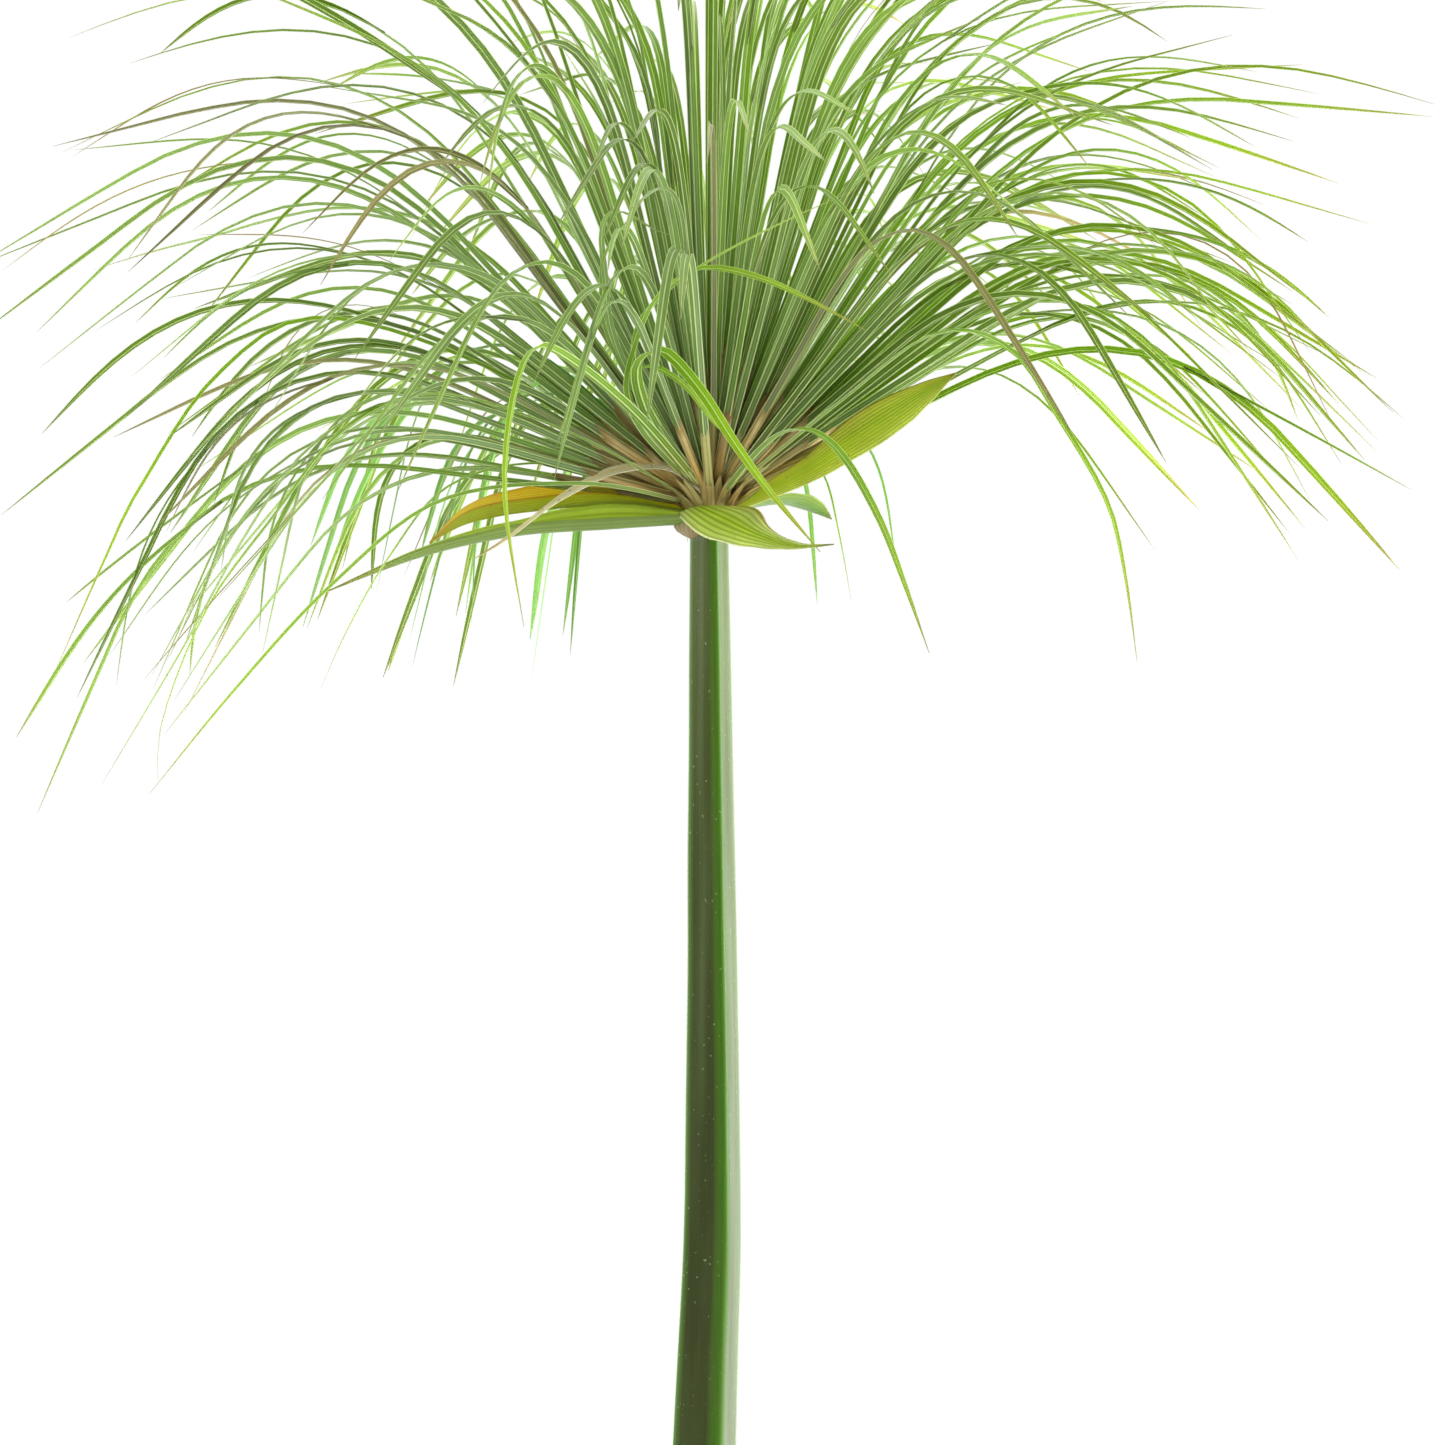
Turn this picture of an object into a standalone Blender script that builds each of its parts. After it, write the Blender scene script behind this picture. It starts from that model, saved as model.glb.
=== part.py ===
"""A potted papyrus: one three-sided culm with its umbel of rays, on a rhizome in a plain clay pot.

Metres, +Z up. The origin is the middle of the pot's foot, +X is the viewer's right and -Y faces the viewer.
Each piece is its own object: pot, soil, rhizome, sheaths, culm, receptacle, bracts and the principal rays.
"""

import math
import random

import bmesh
import bpy
from mathutils import Vector

# Gap kept between pieces that touch.
CLEARANCE = 0.0003

# Pot: a plain thrown clay pot with a rim band and no drain hole, since papyrus stands in wet soil.
POT_HEIGHT = 0.215
POT_FOOT_RADIUS = 0.084
POT_BODY_TOP_RADIUS = 0.119
POT_WALL = 0.009
POT_FLOOR = 0.012
RIM_BAND_HEIGHT = 0.036
RIM_BAND_PROUD = 0.006
POT_EDGE_RADIUS = 0.0025
POT_SIDES = 48

# Soil, with its surface below the rim and slightly heaped round the plant.
SOIL_BELOW_RIM = 0.026
SOIL_HEAP = 0.004
SOIL_EDGE_ROUNDING = 0.003

# Rhizome: a creeping woody stem, its flat top just out of the soil, with roots and a bud.
RHIZOME_HALF_LENGTH = 0.048
RHIZOME_HALF_WIDTH = 0.031
RHIZOME_HALF_DEPTH = 0.022
RHIZOME_SEAT_ABOVE_CENTRE = 0.014
RHIZOME_SEAT_ABOVE_SOIL = 0.006
RHIZOME_SOIL_GAP = 0.0006
ROOT_COUNT = 6
ROOT_LENGTH = 0.085
ROOT_RADIUS = 0.0032
ROOT_TIP_SHARE = 0.35
BUD_LENGTH = 0.042
BUD_RADIUS = 0.0085

# Culm: a three-sided stalk that narrows upwards, drawn as its flat-to-centre distance.
CULM_FOOT_FLAT_RADIUS = 0.0104
CULM_TOP_FLAT_RADIUS = 0.0052
CULM_EDGE_SHARPNESS = 3.0
CULM_EDGE_TURN = math.radians(281)
CULM_SIDES = 24
CULM_RINGS = 14
# Sideways bends of the culm, as (height share from foot to top, x, y).
CULM_LINE = (
    (0.0, -0.0070, 0.0020),
    (0.25, -0.0035, 0.0010),
    (0.42, -0.0008, 0.0),
    (0.55, 0.0019, -0.0005),
    (0.75, 0.0014, 0.0),
    (1.0, 0.0, 0.0),
)

# Basal sheaths round the culm's foot, from the inner, longest one outwards.
SHEATH_HEIGHTS = (0.150, 0.098, 0.056)
SHEATH_THICKNESS = 0.0009
SHEATH_FIT = 0.0006
SHEATH_MOUTH_DROP = 0.45
SHEATH_RINGS = 5

# Receptacle: the knob on the culm's top that rays and bracts grow from.
HUB_HEIGHT = 0.800
HUB_RADIUS = 0.0098
HUB_NECK = 0.010
HUB_SIDES = 28

# Bracts, each (name, azimuth, rise, length, width, base width, turn, sweep, fold, roll), angles in degrees.
BRACT_THICKNESS = 0.0007
BRACT_LEVEL = 0.0045
BRACT_STATIONS = 9
BRACTS = (
    ("bract_front", 292, -8, 0.066, 0.021, 0.0110, 16, 34, 24, -34),
    ("bract_right", 352, 28, 0.098, 0.0145, 0.0068, -4, 4, 26, 42),
    ("bract_left_long", 203, 4, 0.148, 0.0105, 0.0062, 34, -10, 46, -10),
    ("bract_left_yellow", 165, 12, 0.104, 0.0125, 0.0062, 42, 14, 30, 0),
    ("bract_dry", 234, 30, 0.104, 0.0055, 0.0050, 72, -34, 20, 0),
    ("bract_back_left", 124, 14, 0.092, 0.0120, 0.0068, 30, 8, 34, 0),
    ("bract_back_right", 56, 18, 0.088, 0.0125, 0.0068, 26, -6, 34, 0),
    ("bract_scale", 266, -34, 0.016, 0.0070, 0.0050, 10, 10, 20, 0),
)

# Principal rays, spread evenly over the upper hemisphere by the golden angle.
RAY_COUNT = 44
RAY_LOWEST_RISE = math.radians(13)
RAY_GOLDEN_TURN = math.radians(137.508)
RAY_FIRST_AZIMUTH = math.radians(28)
RAY_TILT = math.radians(7)
RAY_FACE_LIFT = math.radians(21)
RAY_LENGTH = 0.312
RAY_LENGTH_SPREAD = 0.016
RAY_TOP_LENGTH = 0.320
RAY_FOOT_RADIUS = 0.0014
RAY_TIP_RADIUS = 0.0005
RAY_STATIONS = 12
RAY_END_SLOPE_LOW = math.radians(-85)
RAY_END_SLOPE_HIGH = math.radians(45)
RAY_END_SLOPE_SPREAD = math.radians(14)
RAY_STEEP_BEND_DELAY = 0.18
RAY_SEED = 7

SOIL_TOP = POT_HEIGHT - SOIL_BELOW_RIM
RHIZOME_SEAT = SOIL_TOP + SOIL_HEAP + RHIZOME_SEAT_ABOVE_SOIL
CULM_FOOT = RHIZOME_SEAT + CLEARANCE
CULM_TOP = HUB_HEIGHT - HUB_NECK - CLEARANCE


def smooth_step(share):
    share = min(1.0, max(0.0, share))
    return share * share * (3.0 - 2.0 * share)


def clear_scene():
    for old in list(bpy.data.objects):
        bpy.data.objects.remove(old, do_unlink=True)


def new_collection(name):
    collection = bpy.data.collections.new(name)
    bpy.context.scene.collection.children.link(collection)
    return collection


def finish_material(name, colour, roughness, metallic=0.0):
    material = bpy.data.materials.new(name)
    material.use_nodes = True
    shader = material.node_tree.nodes["Principled BSDF"]
    shader.inputs["Base Color"].default_value = (*colour, 1.0)
    shader.inputs["Roughness"].default_value = roughness
    shader.inputs["Metallic"].default_value = metallic
    return material


def object_from(name, data, material, collection):
    made = bpy.data.objects.new(name, data)
    collection.objects.link(made)
    if material:
        data.materials.append(material)
    return made


def mesh_object(name, mesh_builder, material, collection, smooth=True):
    mesh = bpy.data.meshes.new(name)
    mesh_builder.to_mesh(mesh)
    mesh_builder.free()
    if smooth:
        mesh.shade_smooth()
    return object_from(name, mesh, material, collection)


def applied(made):
    """The object as a plain mesh, its modifiers made real and its caps welded."""
    bpy.context.view_layer.update()
    graph = bpy.context.evaluated_depsgraph_get()
    mesh = bpy.data.meshes.new_from_object(made.evaluated_get(graph))
    builder = bmesh.new()
    builder.from_mesh(mesh)
    bmesh.ops.remove_doubles(builder, verts=builder.verts, dist=1e-6)
    bmesh.ops.recalc_face_normals(builder, faces=builder.faces)
    builder.to_mesh(mesh)
    builder.free()
    name, place, homes = made.name, made.matrix_world.copy(), list(made.users_collection)
    bpy.data.objects.remove(made, do_unlink=True)
    plain = bpy.data.objects.new(name, mesh)
    plain.matrix_world = place
    for home in homes:
        home.objects.link(plain)
    return plain


def turned_object(name, profile, sides, material, collection):
    """A profile of (radius, height) from inside top to outside bottom, turned round Z."""
    builder = bmesh.new()
    corners = [builder.verts.new((radius, 0.0, height)) for radius, height in profile]
    for one, two in zip(corners, corners[1:]):
        builder.edges.new((one, two))
    made = mesh_object(name, builder, material, collection, smooth=False)
    screw = made.modifiers.new("Turn", "SCREW")
    screw.steps = sides
    screw.render_steps = sides
    screw.use_merge_vertices = True
    screw.merge_threshold = 0.00001
    screw.use_smooth_shade = True
    return made


def rounded(corner, before, after, radius, steps=2):
    """Points of an arc that rounds a profile's corner between the points before and after it."""
    corner, before, after = Vector(corner), Vector(before), Vector(after)
    start = corner + (before - corner).normalized() * radius
    end = corner + (after - corner).normalized() * radius
    arc = []
    for index in range(steps + 1):
        share = index / steps
        arc.append(tuple(start.lerp(corner, share).lerp(corner.lerp(end, share), share)))
    return arc


def pot_outer_radius(height):
    return POT_FOOT_RADIUS + (POT_BODY_TOP_RADIUS - POT_FOOT_RADIUS) * height / POT_HEIGHT


def pot_inner_radius(height):
    return pot_outer_radius(height) - POT_WALL


def make_pot(collection):
    band_foot = POT_HEIGHT - RIM_BAND_HEIGHT
    band_radius = POT_BODY_TOP_RADIUS + RIM_BAND_PROUD
    corners = [
        (0.0, POT_FLOOR),
        (pot_inner_radius(POT_FLOOR), POT_FLOOR),
        (pot_inner_radius(POT_HEIGHT), POT_HEIGHT),
        (band_radius, POT_HEIGHT),
        (band_radius - RIM_BAND_PROUD * 0.25, band_foot),
        (pot_outer_radius(band_foot), band_foot - RIM_BAND_PROUD * 0.4),
        (POT_FOOT_RADIUS, 0.0),
        (0.0, 0.0),
    ]
    profile = [corners[0]]
    for before, corner, after in zip(corners, corners[1:], corners[2:]):
        profile += rounded(corner, before, after, POT_EDGE_RADIUS)
    profile.append(corners[-1])
    clay = finish_material("fired_clay", (0.56, 0.25, 0.14), 0.85)
    return turned_object("pot", profile, POT_SIDES, clay, collection)


def make_soil(collection, cutters):
    floor = POT_FLOOR + CLEARANCE
    rounding = POT_EDGE_RADIUS
    profile = [
        (0.0, SOIL_TOP + SOIL_HEAP),
        (pot_inner_radius(SOIL_TOP) * 0.45, SOIL_TOP + SOIL_HEAP * 0.7),
        (pot_inner_radius(SOIL_TOP) * 0.8, SOIL_TOP),
        (pot_inner_radius(SOIL_TOP) - CLEARANCE - SOIL_EDGE_ROUNDING, SOIL_TOP),
        (pot_inner_radius(SOIL_TOP) - 2 * CLEARANCE, SOIL_TOP - SOIL_EDGE_ROUNDING),
        (pot_inner_radius(floor + rounding) - 2 * CLEARANCE, floor + rounding),
        (pot_inner_radius(floor) - 2 * CLEARANCE - rounding, floor),
        (0.0, floor),
    ]
    earth = finish_material("potting_soil", (0.045, 0.028, 0.018), 0.95)
    soil = turned_object("soil", profile, POT_SIDES, earth, collection)
    cutter = rhizome_solid("soil_cutter", RHIZOME_SOIL_GAP, None, cutters, flat_top=False)
    cutter.hide_render = True
    cutter.display_type = "WIRE"
    cut = soil.modifiers.new("Rhizome pit", "BOOLEAN")
    cut.operation = "DIFFERENCE"
    cut.object = cutter
    return soil


def culm_centre(height):
    """The culm's middle at a height, on a smooth line through CULM_LINE."""
    share = min(1.0, max(0.0, (height - CULM_FOOT) / (CULM_TOP - CULM_FOOT)))
    last = len(CULM_LINE) - 1
    index = min(last - 1, sum(point[0] <= share for point in CULM_LINE) - 1)
    before, low = CULM_LINE[max(0, index - 1)], CULM_LINE[index]
    high, after = CULM_LINE[index + 1], CULM_LINE[min(last, index + 2)]
    span = high[0] - low[0]
    part = (share - low[0]) / span
    centre = []
    for axis in (1, 2):
        leave = (high[axis] - before[axis]) / (high[0] - before[0]) * span
        arrive = (after[axis] - low[axis]) / (after[0] - low[0]) * span
        centre.append(
            (2 * part**3 - 3 * part**2 + 1) * low[axis]
            + (part**3 - 2 * part**2 + part) * leave
            + (3 * part**2 - 2 * part**3) * high[axis]
            + (part**3 - part**2) * arrive
        )
    return Vector((centre[0], centre[1], height))


def culm_flat_radius(height):
    share = (height - CULM_FOOT) / (CULM_TOP - CULM_FOOT)
    return CULM_FOOT_FLAT_RADIUS + (CULM_TOP_FLAT_RADIUS - CULM_FOOT_FLAT_RADIUS) * share


def three_sided_radius(flat_radius, angle):
    """Distance from the middle to the surface of a rounded three-sided section."""
    total = 0.0
    for side in range(3):
        face = CULM_EDGE_TURN + math.pi + side * math.tau / 3
        total += max(0.0, math.cos(angle - face)) ** CULM_EDGE_SHARPNESS
    return flat_radius * total ** (-1.0 / CULM_EDGE_SHARPNESS)


def culm_point(height, angle, offset=0.0):
    reach = three_sided_radius(culm_flat_radius(height), angle) + offset
    return culm_centre(height) + Vector((math.cos(angle), math.sin(angle), 0.0)) * reach


def column(rings, sides, capped):
    """A unit column from z 0 to 1 with evenly spaced rings, ready to be shaped."""
    builder = bmesh.new()
    bmesh.ops.create_cone(
        builder, cap_ends=capped, segments=sides, radius1=1.0, radius2=1.0, depth=1.0
    )
    bmesh.ops.translate(builder, verts=builder.verts, vec=(0.0, 0.0, 0.5))
    uprights = [e for e in builder.edges if abs(e.verts[0].co.z - e.verts[1].co.z) > 0.5]
    bmesh.ops.subdivide_edges(builder, edges=uprights, cuts=rings - 2, use_grid_fill=True)
    return builder


def make_culm(collection):
    builder = column(CULM_RINGS, CULM_SIDES, capped=True)
    for corner in builder.verts:
        angle = math.atan2(corner.co.y, corner.co.x)
        height = CULM_FOOT + (CULM_TOP - CULM_FOOT) * corner.co.z
        corner.co = culm_point(height, angle)
    green = finish_material("culm_green", (0.12, 0.19, 0.06), 0.4)
    return mesh_object("culm", builder, green, collection)


def make_sheath(index, collection):
    """A papery sleeve round the culm's foot, its mouth cut slantwise to a point."""
    height = SHEATH_HEIGHTS[index]
    inner = SHEATH_FIT + index * (SHEATH_THICKNESS + SHEATH_FIT)
    point_angle = CULM_EDGE_TURN + index * math.tau / 3
    builder = column(SHEATH_RINGS, CULM_SIDES, capped=False)
    for corner in builder.verts:
        angle = math.atan2(corner.co.y, corner.co.x)
        drop = SHEATH_MOUTH_DROP * (0.5 - 0.5 * math.cos(angle - point_angle))
        level = CULM_FOOT + height * corner.co.z * (1.0 - drop * corner.co.z)
        corner.co = culm_point(level, angle, inner)
    papery = finish_material("sheath_brown", (0.24, 0.15, 0.08), 0.7)
    sheath = mesh_object(f"basal_sheath_{index + 1}", builder, papery, collection)
    wall = sheath.modifiers.new("Wall", "SOLIDIFY")
    wall.thickness = SHEATH_THICKNESS
    wall.offset = 1.0
    wall.use_even_offset = True
    return sheath


def rhizome_centre():
    foot = culm_centre(CULM_FOOT)
    return Vector((foot.x + 0.006, foot.y, RHIZOME_SEAT - RHIZOME_SEAT_ABOVE_CENTRE))


def tapered_tube(name, points, radii, collection, material=None, resolution=0):
    """A curve through the points, as thick as radii say, with closed ends."""
    curve = bpy.data.curves.new(name, "CURVE")
    curve.dimensions = "3D"
    curve.bevel_depth = 1.0
    curve.bevel_resolution = resolution
    curve.use_fill_caps = True
    line = curve.splines.new("POLY")
    line.points.add(len(points) - 1)
    for point, place, radius in zip(line.points, points, radii):
        point.co = (*place, 1.0)
        point.radius = radius
    return object_from(name, curve, material, collection)


def root_tube(index, grow, collection):
    """A thick root that leaves the rhizome's underside and dives into the soil."""
    azimuth = index * math.tau / ROOT_COUNT + 0.4
    away = Vector((math.cos(azimuth), math.sin(azimuth) * 0.7, 0.0))
    start = rhizome_centre() + away * 0.012
    points, radii = [], []
    stations = 6
    for station in range(stations):
        share = station / (stations - 1)
        fall = ROOT_LENGTH * share * (0.65 + 0.05 * (index % 3))
        points.append(start + away * 0.045 * math.sin(share * 1.4) - Vector((0.0, 0.0, fall)))
        radii.append(ROOT_RADIUS * (1.0 - (1.0 - ROOT_TIP_SHARE) * share) + grow)
    points[-1] += (points[-1] - points[-2]).normalized() * grow
    return applied(tapered_tube(f"root_{index + 1}", points, radii, collection, resolution=1))


def bud_tube(grow, collection):
    """The rhizome's growing tip: a short pointed bud that turns up out of the soil."""
    start = rhizome_centre() + Vector((RHIZOME_HALF_LENGTH * 0.62, 0.004, 0.002))
    points, radii = [], []
    stations = 6
    for station in range(stations):
        share = station / (stations - 1)
        run = BUD_LENGTH * share
        points.append(start + Vector((run * 0.42 * (1.2 - share), 0.0, run * 0.92)))
        radii.append(BUD_RADIUS * math.cos(share * 1.42) ** 0.8 + grow)
    return applied(tapered_tube("bud", points, radii, collection, resolution=2))


def rhizome_solid(name, grow, material, collection, flat_top=True):
    """The rhizome with its roots and bud joined on, all grown outwards by grow."""
    centre = rhizome_centre()
    builder = bmesh.new()
    bmesh.ops.create_uvsphere(builder, u_segments=20, v_segments=12, radius=1.0)
    for corner in builder.verts:
        ring = 1.0 + 0.05 * math.cos(corner.co.x * 9.0)
        side = Vector((RHIZOME_HALF_LENGTH, RHIZOME_HALF_WIDTH * ring, RHIZOME_HALF_DEPTH * ring))
        corner.co = Vector(corner.co[axis] * (side[axis] + grow) for axis in range(3)) + centre
        if flat_top:
            corner.co.z = min(corner.co.z, RHIZOME_SEAT)
    body = mesh_object(name, builder, material, collection, smooth=False)
    joined = [root_tube(index, grow, collection) for index in range(ROOT_COUNT)]
    joined.append(bud_tube(grow, collection))
    for piece in joined:
        join = body.modifiers.new("Join", "BOOLEAN")
        join.operation = "UNION"
        join.object = piece
    solid = applied(body)
    for piece in joined:
        bpy.data.objects.remove(piece, do_unlink=True)
    if material:
        solid.data.materials.clear()
        solid.data.materials.append(material)
    return solid


def make_rhizome(collection):
    woody = finish_material("rhizome_brown", (0.16, 0.10, 0.05), 0.8)
    return rhizome_solid("rhizome", 0.0, woody, collection)


def make_receptacle(collection):
    """A dome on a neck that narrows to the culm's top."""
    profile = []
    dome_steps = 5
    for step in range(dome_steps + 1):
        angle = math.pi / 2 * (1 - step / dome_steps)
        profile.append((HUB_RADIUS * math.cos(angle), HUB_HEIGHT + HUB_RADIUS * math.sin(angle)))
    profile[0] = (0.0, HUB_HEIGHT + HUB_RADIUS)
    profile += [
        (HUB_RADIUS, HUB_HEIGHT - HUB_NECK * 0.7),
        (CULM_TOP_FLAT_RADIUS * 1.3, HUB_HEIGHT - HUB_NECK),
        (0.0, HUB_HEIGHT - HUB_NECK),
    ]
    pale = finish_material("receptacle_tan", (0.35, 0.27, 0.12), 0.7)
    return turned_object("receptacle", profile, HUB_SIDES, pale, collection)


def drooping_line(start, azimuth, rise, length, end_slope, bend_from, bend_to, stations, sweep=0.0):
    """Points along a stalk that leaves start at rise above the level and bends over to end_slope.

    bend_from and bend_to are the shares of its length between which it bends.
    """
    points = [Vector(start)]
    step = length / (stations - 1)
    for index in range(stations - 1):
        share = (index + 0.5) / (stations - 1)
        slope = rise + (end_slope - rise) * smooth_step((share - bend_from) / (bend_to - bend_from))
        heading = azimuth + sweep * share
        flat = Vector((math.cos(heading), math.sin(heading), 0.0))
        points.append(points[-1] + (flat * math.cos(slope) + Vector((0, 0, math.sin(slope)))) * step)
    return points


def bract_width_share(share, foot_share):
    """How wide a bract is along its length, as a share of its widest."""
    widest_at = 0.32
    if share < widest_at:
        return foot_share + (1.0 - foot_share) * smooth_step(share / widest_at)
    narrowing = (share - widest_at) / (1.0 - widest_at)
    return max(0.05, (1.0 - narrowing**1.6))


def make_bract(settings, collection):
    """A leaf blade folded along its midrib, that follows its own drooping line."""
    name, azimuth, rise, length, width, foot_width, turn, sweep, fold, roll = settings
    azimuth, rise, turn, sweep, fold, roll = map(
        math.radians, (azimuth, rise, turn, sweep, fold, roll)
    )
    away = Vector((math.cos(azimuth), math.sin(azimuth), 0.0))
    start = away * (HUB_RADIUS + CLEARANCE + BRACT_THICKNESS)
    start.z = HUB_HEIGHT - BRACT_LEVEL
    line = drooping_line(
        start, azimuth, rise, length, rise - turn, 0.1, 0.9, BRACT_STATIONS, sweep
    )
    builder = bmesh.new()
    bmesh.ops.create_grid(builder, x_segments=BRACT_STATIONS - 1, y_segments=2, size=1.0)
    for corner in builder.verts:
        station = round((corner.co.x + 1.0) / 2 * (BRACT_STATIONS - 1))
        share = station / (BRACT_STATIONS - 1)
        across = corner.co.y * width / 2 * bract_width_share(share, foot_width / width)
        ahead = line[min(station + 1, BRACT_STATIONS - 1)] - line[max(station - 1, 0)]
        side = Vector((0, 0, 1)).cross(ahead).normalized()
        above = ahead.cross(side).normalized()
        turned = roll * smooth_step(share * 2.5)
        flat_side = side * math.cos(turned) + above * math.sin(turned)
        flat_above = above * math.cos(turned) - side * math.sin(turned)
        lift = abs(across) * math.sin(fold)
        corner.co = line[station] + flat_side * across * math.cos(fold) + flat_above * lift
    blade_green = finish_material(f"{name}_finish", (0.20, 0.32, 0.05), 0.5)
    bract = mesh_object(name, builder, blade_green, collection)
    wall = bract.modifiers.new("Blade", "SOLIDIFY")
    wall.thickness = BRACT_THICKNESS
    wall.offset = 0.0
    return bract


def ray_settings():
    """Each principal ray's direction, length and droop, from the steepest to the lowest."""
    chance = random.Random(RAY_SEED)
    lowest = math.sin(RAY_LOWEST_RISE)
    rays = []
    for index in range(RAY_COUNT):
        level = 1.0 - (index + 0.5) / RAY_COUNT * (1.0 - lowest)
        steepness = math.asin(level)
        azimuth = RAY_FIRST_AZIMUTH + index * RAY_GOLDEN_TURN
        # The umbel leans left, and the rays that point forwards and back stand steeper than those at its sides.
        rise = steepness + RAY_TILT * math.cos(azimuth) * math.cos(steepness)
        rise += RAY_FACE_LIFT * (math.sin(azimuth) * math.cos(steepness)) ** 2
        share = rise / (math.pi / 2)
        length = RAY_LENGTH + (RAY_TOP_LENGTH - RAY_LENGTH) * share**2
        end_slope = RAY_END_SLOPE_LOW + (RAY_END_SLOPE_HIGH - RAY_END_SLOPE_LOW) * share
        bend_from = chance.uniform(0.18, 0.30) + RAY_STEEP_BEND_DELAY * share
        rays.append(
            {
                "azimuth": azimuth,
                "rise": rise,
                "length": length + chance.uniform(-1, 1) * RAY_LENGTH_SPREAD,
                "end_slope": end_slope + chance.uniform(-1, 1) * RAY_END_SLOPE_SPREAD,
                "bend_from": bend_from,
                "bend_to": bend_from + chance.uniform(0.44, 0.54),
            }
        )
    return rays


def make_ray(number, ray, material, collection):
    direction = Vector(
        (
            math.cos(ray["rise"]) * math.cos(ray["azimuth"]),
            math.cos(ray["rise"]) * math.sin(ray["azimuth"]),
            math.sin(ray["rise"]),
        )
    )
    foot = Vector((0, 0, HUB_HEIGHT)) + direction * (HUB_RADIUS + CLEARANCE)
    points = drooping_line(
        foot,
        ray["azimuth"],
        ray["rise"],
        ray["length"],
        ray["end_slope"],
        ray["bend_from"],
        ray["bend_to"],
        RAY_STATIONS,
    )
    radii = []
    for station in range(RAY_STATIONS):
        share = station / (RAY_STATIONS - 1)
        radii.append(RAY_FOOT_RADIUS + (RAY_TIP_RADIUS - RAY_FOOT_RADIUS) * share)
    return tapered_tube(f"ray_{number:02d}", points, radii, collection, material)


def main():
    clear_scene()
    plant = new_collection("potted_papyrus")
    cutters = new_collection("cutters")
    make_pot(plant)
    make_soil(plant, cutters)
    make_rhizome(plant)
    make_culm(plant)
    for index in range(len(SHEATH_HEIGHTS)):
        make_sheath(index, plant)
    make_receptacle(plant)
    for settings in BRACTS:
        make_bract(settings, plant)
    ray_green = finish_material("ray_green", (0.16, 0.27, 0.07), 0.45)
    for number, ray in enumerate(ray_settings(), start=1):
        make_ray(number, ray, ray_green, plant)


main()
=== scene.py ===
import math
import random

import bmesh
import bpy
from mathutils import Matrix, Vector, noise


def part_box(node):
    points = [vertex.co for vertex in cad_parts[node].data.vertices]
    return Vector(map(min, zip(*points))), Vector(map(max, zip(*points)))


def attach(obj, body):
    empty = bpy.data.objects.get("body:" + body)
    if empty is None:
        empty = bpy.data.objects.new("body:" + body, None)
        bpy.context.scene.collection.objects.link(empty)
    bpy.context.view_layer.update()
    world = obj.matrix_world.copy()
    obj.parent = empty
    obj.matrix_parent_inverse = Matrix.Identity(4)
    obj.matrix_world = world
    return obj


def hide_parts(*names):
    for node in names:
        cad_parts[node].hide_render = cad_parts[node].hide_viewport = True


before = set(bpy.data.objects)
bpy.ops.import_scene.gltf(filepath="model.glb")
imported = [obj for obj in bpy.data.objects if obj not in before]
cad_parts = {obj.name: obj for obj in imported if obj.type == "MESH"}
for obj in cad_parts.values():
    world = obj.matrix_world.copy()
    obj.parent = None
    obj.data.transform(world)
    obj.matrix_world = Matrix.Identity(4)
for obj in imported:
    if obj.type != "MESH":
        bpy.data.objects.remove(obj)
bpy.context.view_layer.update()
up = Vector((0, 0, 1))
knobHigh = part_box("receptacle")[1]
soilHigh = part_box("soil")[1]
hub = Vector((0, 0, knobHigh.z - knobHigh.x))  # the middle of the knob's dome, where every ray starts


def hexColour(code):
    linear = []
    for start in (1, 3, 5):
        channel = int(code[start:start + 2], 16) / 255
        linear.append(channel / 12.92 if channel <= 0.04045 else ((channel + 0.055) / 1.055) ** 2.4)
    return (*linear, 1.0)


def addNode(tree, kind, values=None, stops=None, **settings):
    # values holds each input's number, colour code or link; stops are a colour ramp's places and colours
    node = tree.nodes.new(kind)
    for name, value in settings.items():
        setattr(node, name, value)
    for socket, value in (values or {}).items():
        if isinstance(value, bpy.types.NodeSocket):
            tree.links.new(value, node.inputs[socket])
        else:
            isCode = isinstance(value, str)
            node.inputs[socket].default_value = hexColour(value) if isCode else value
    if stops:
        ramp = node.color_ramp.elements
        while len(ramp) < len(stops):
            ramp.new(1.0)
        for element, (place, code) in zip(ramp, stops):
            element.position = place
            element.color = hexColour(code)
    return node


def newMaterial(name):
    material = bpy.data.materials.new(name)
    material.use_nodes = True
    material.node_tree.nodes.clear()
    return material, material.node_tree


def finishMaterial(material, shader):
    addNode(material.node_tree, "ShaderNodeOutputMaterial", {"Surface": shader})
    return material


def layered(tree, colour, over, pattern, low=0.0, high=1.0, most=1.0):
    # over covers colour by up to most, as the pattern goes from low to high
    share = addNode(tree, "ShaderNodeMapRange", {0: pattern, 1: low, 2: high, 3: 0.0, 4: most}).outputs[0]
    return addNode(tree, "ShaderNodeMix", {0: share, 6: colour, 7: over}, data_type="RGBA").outputs[2]


def skinOf(tree, colour, roughness, height, relief, strength, more=None):
    # a surface whose pattern stands relief metres high; more holds its other inputs
    bump = addNode(tree, "ShaderNodeBump", {"Height": height, "Distance": relief, "Strength": strength}).outputs[0]
    values = {"Base Color": colour, "Roughness": roughness, "Normal": bump, **(more or {})}
    return addNode(tree, "ShaderNodeBsdfPrincipled", values).outputs[0]


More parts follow.
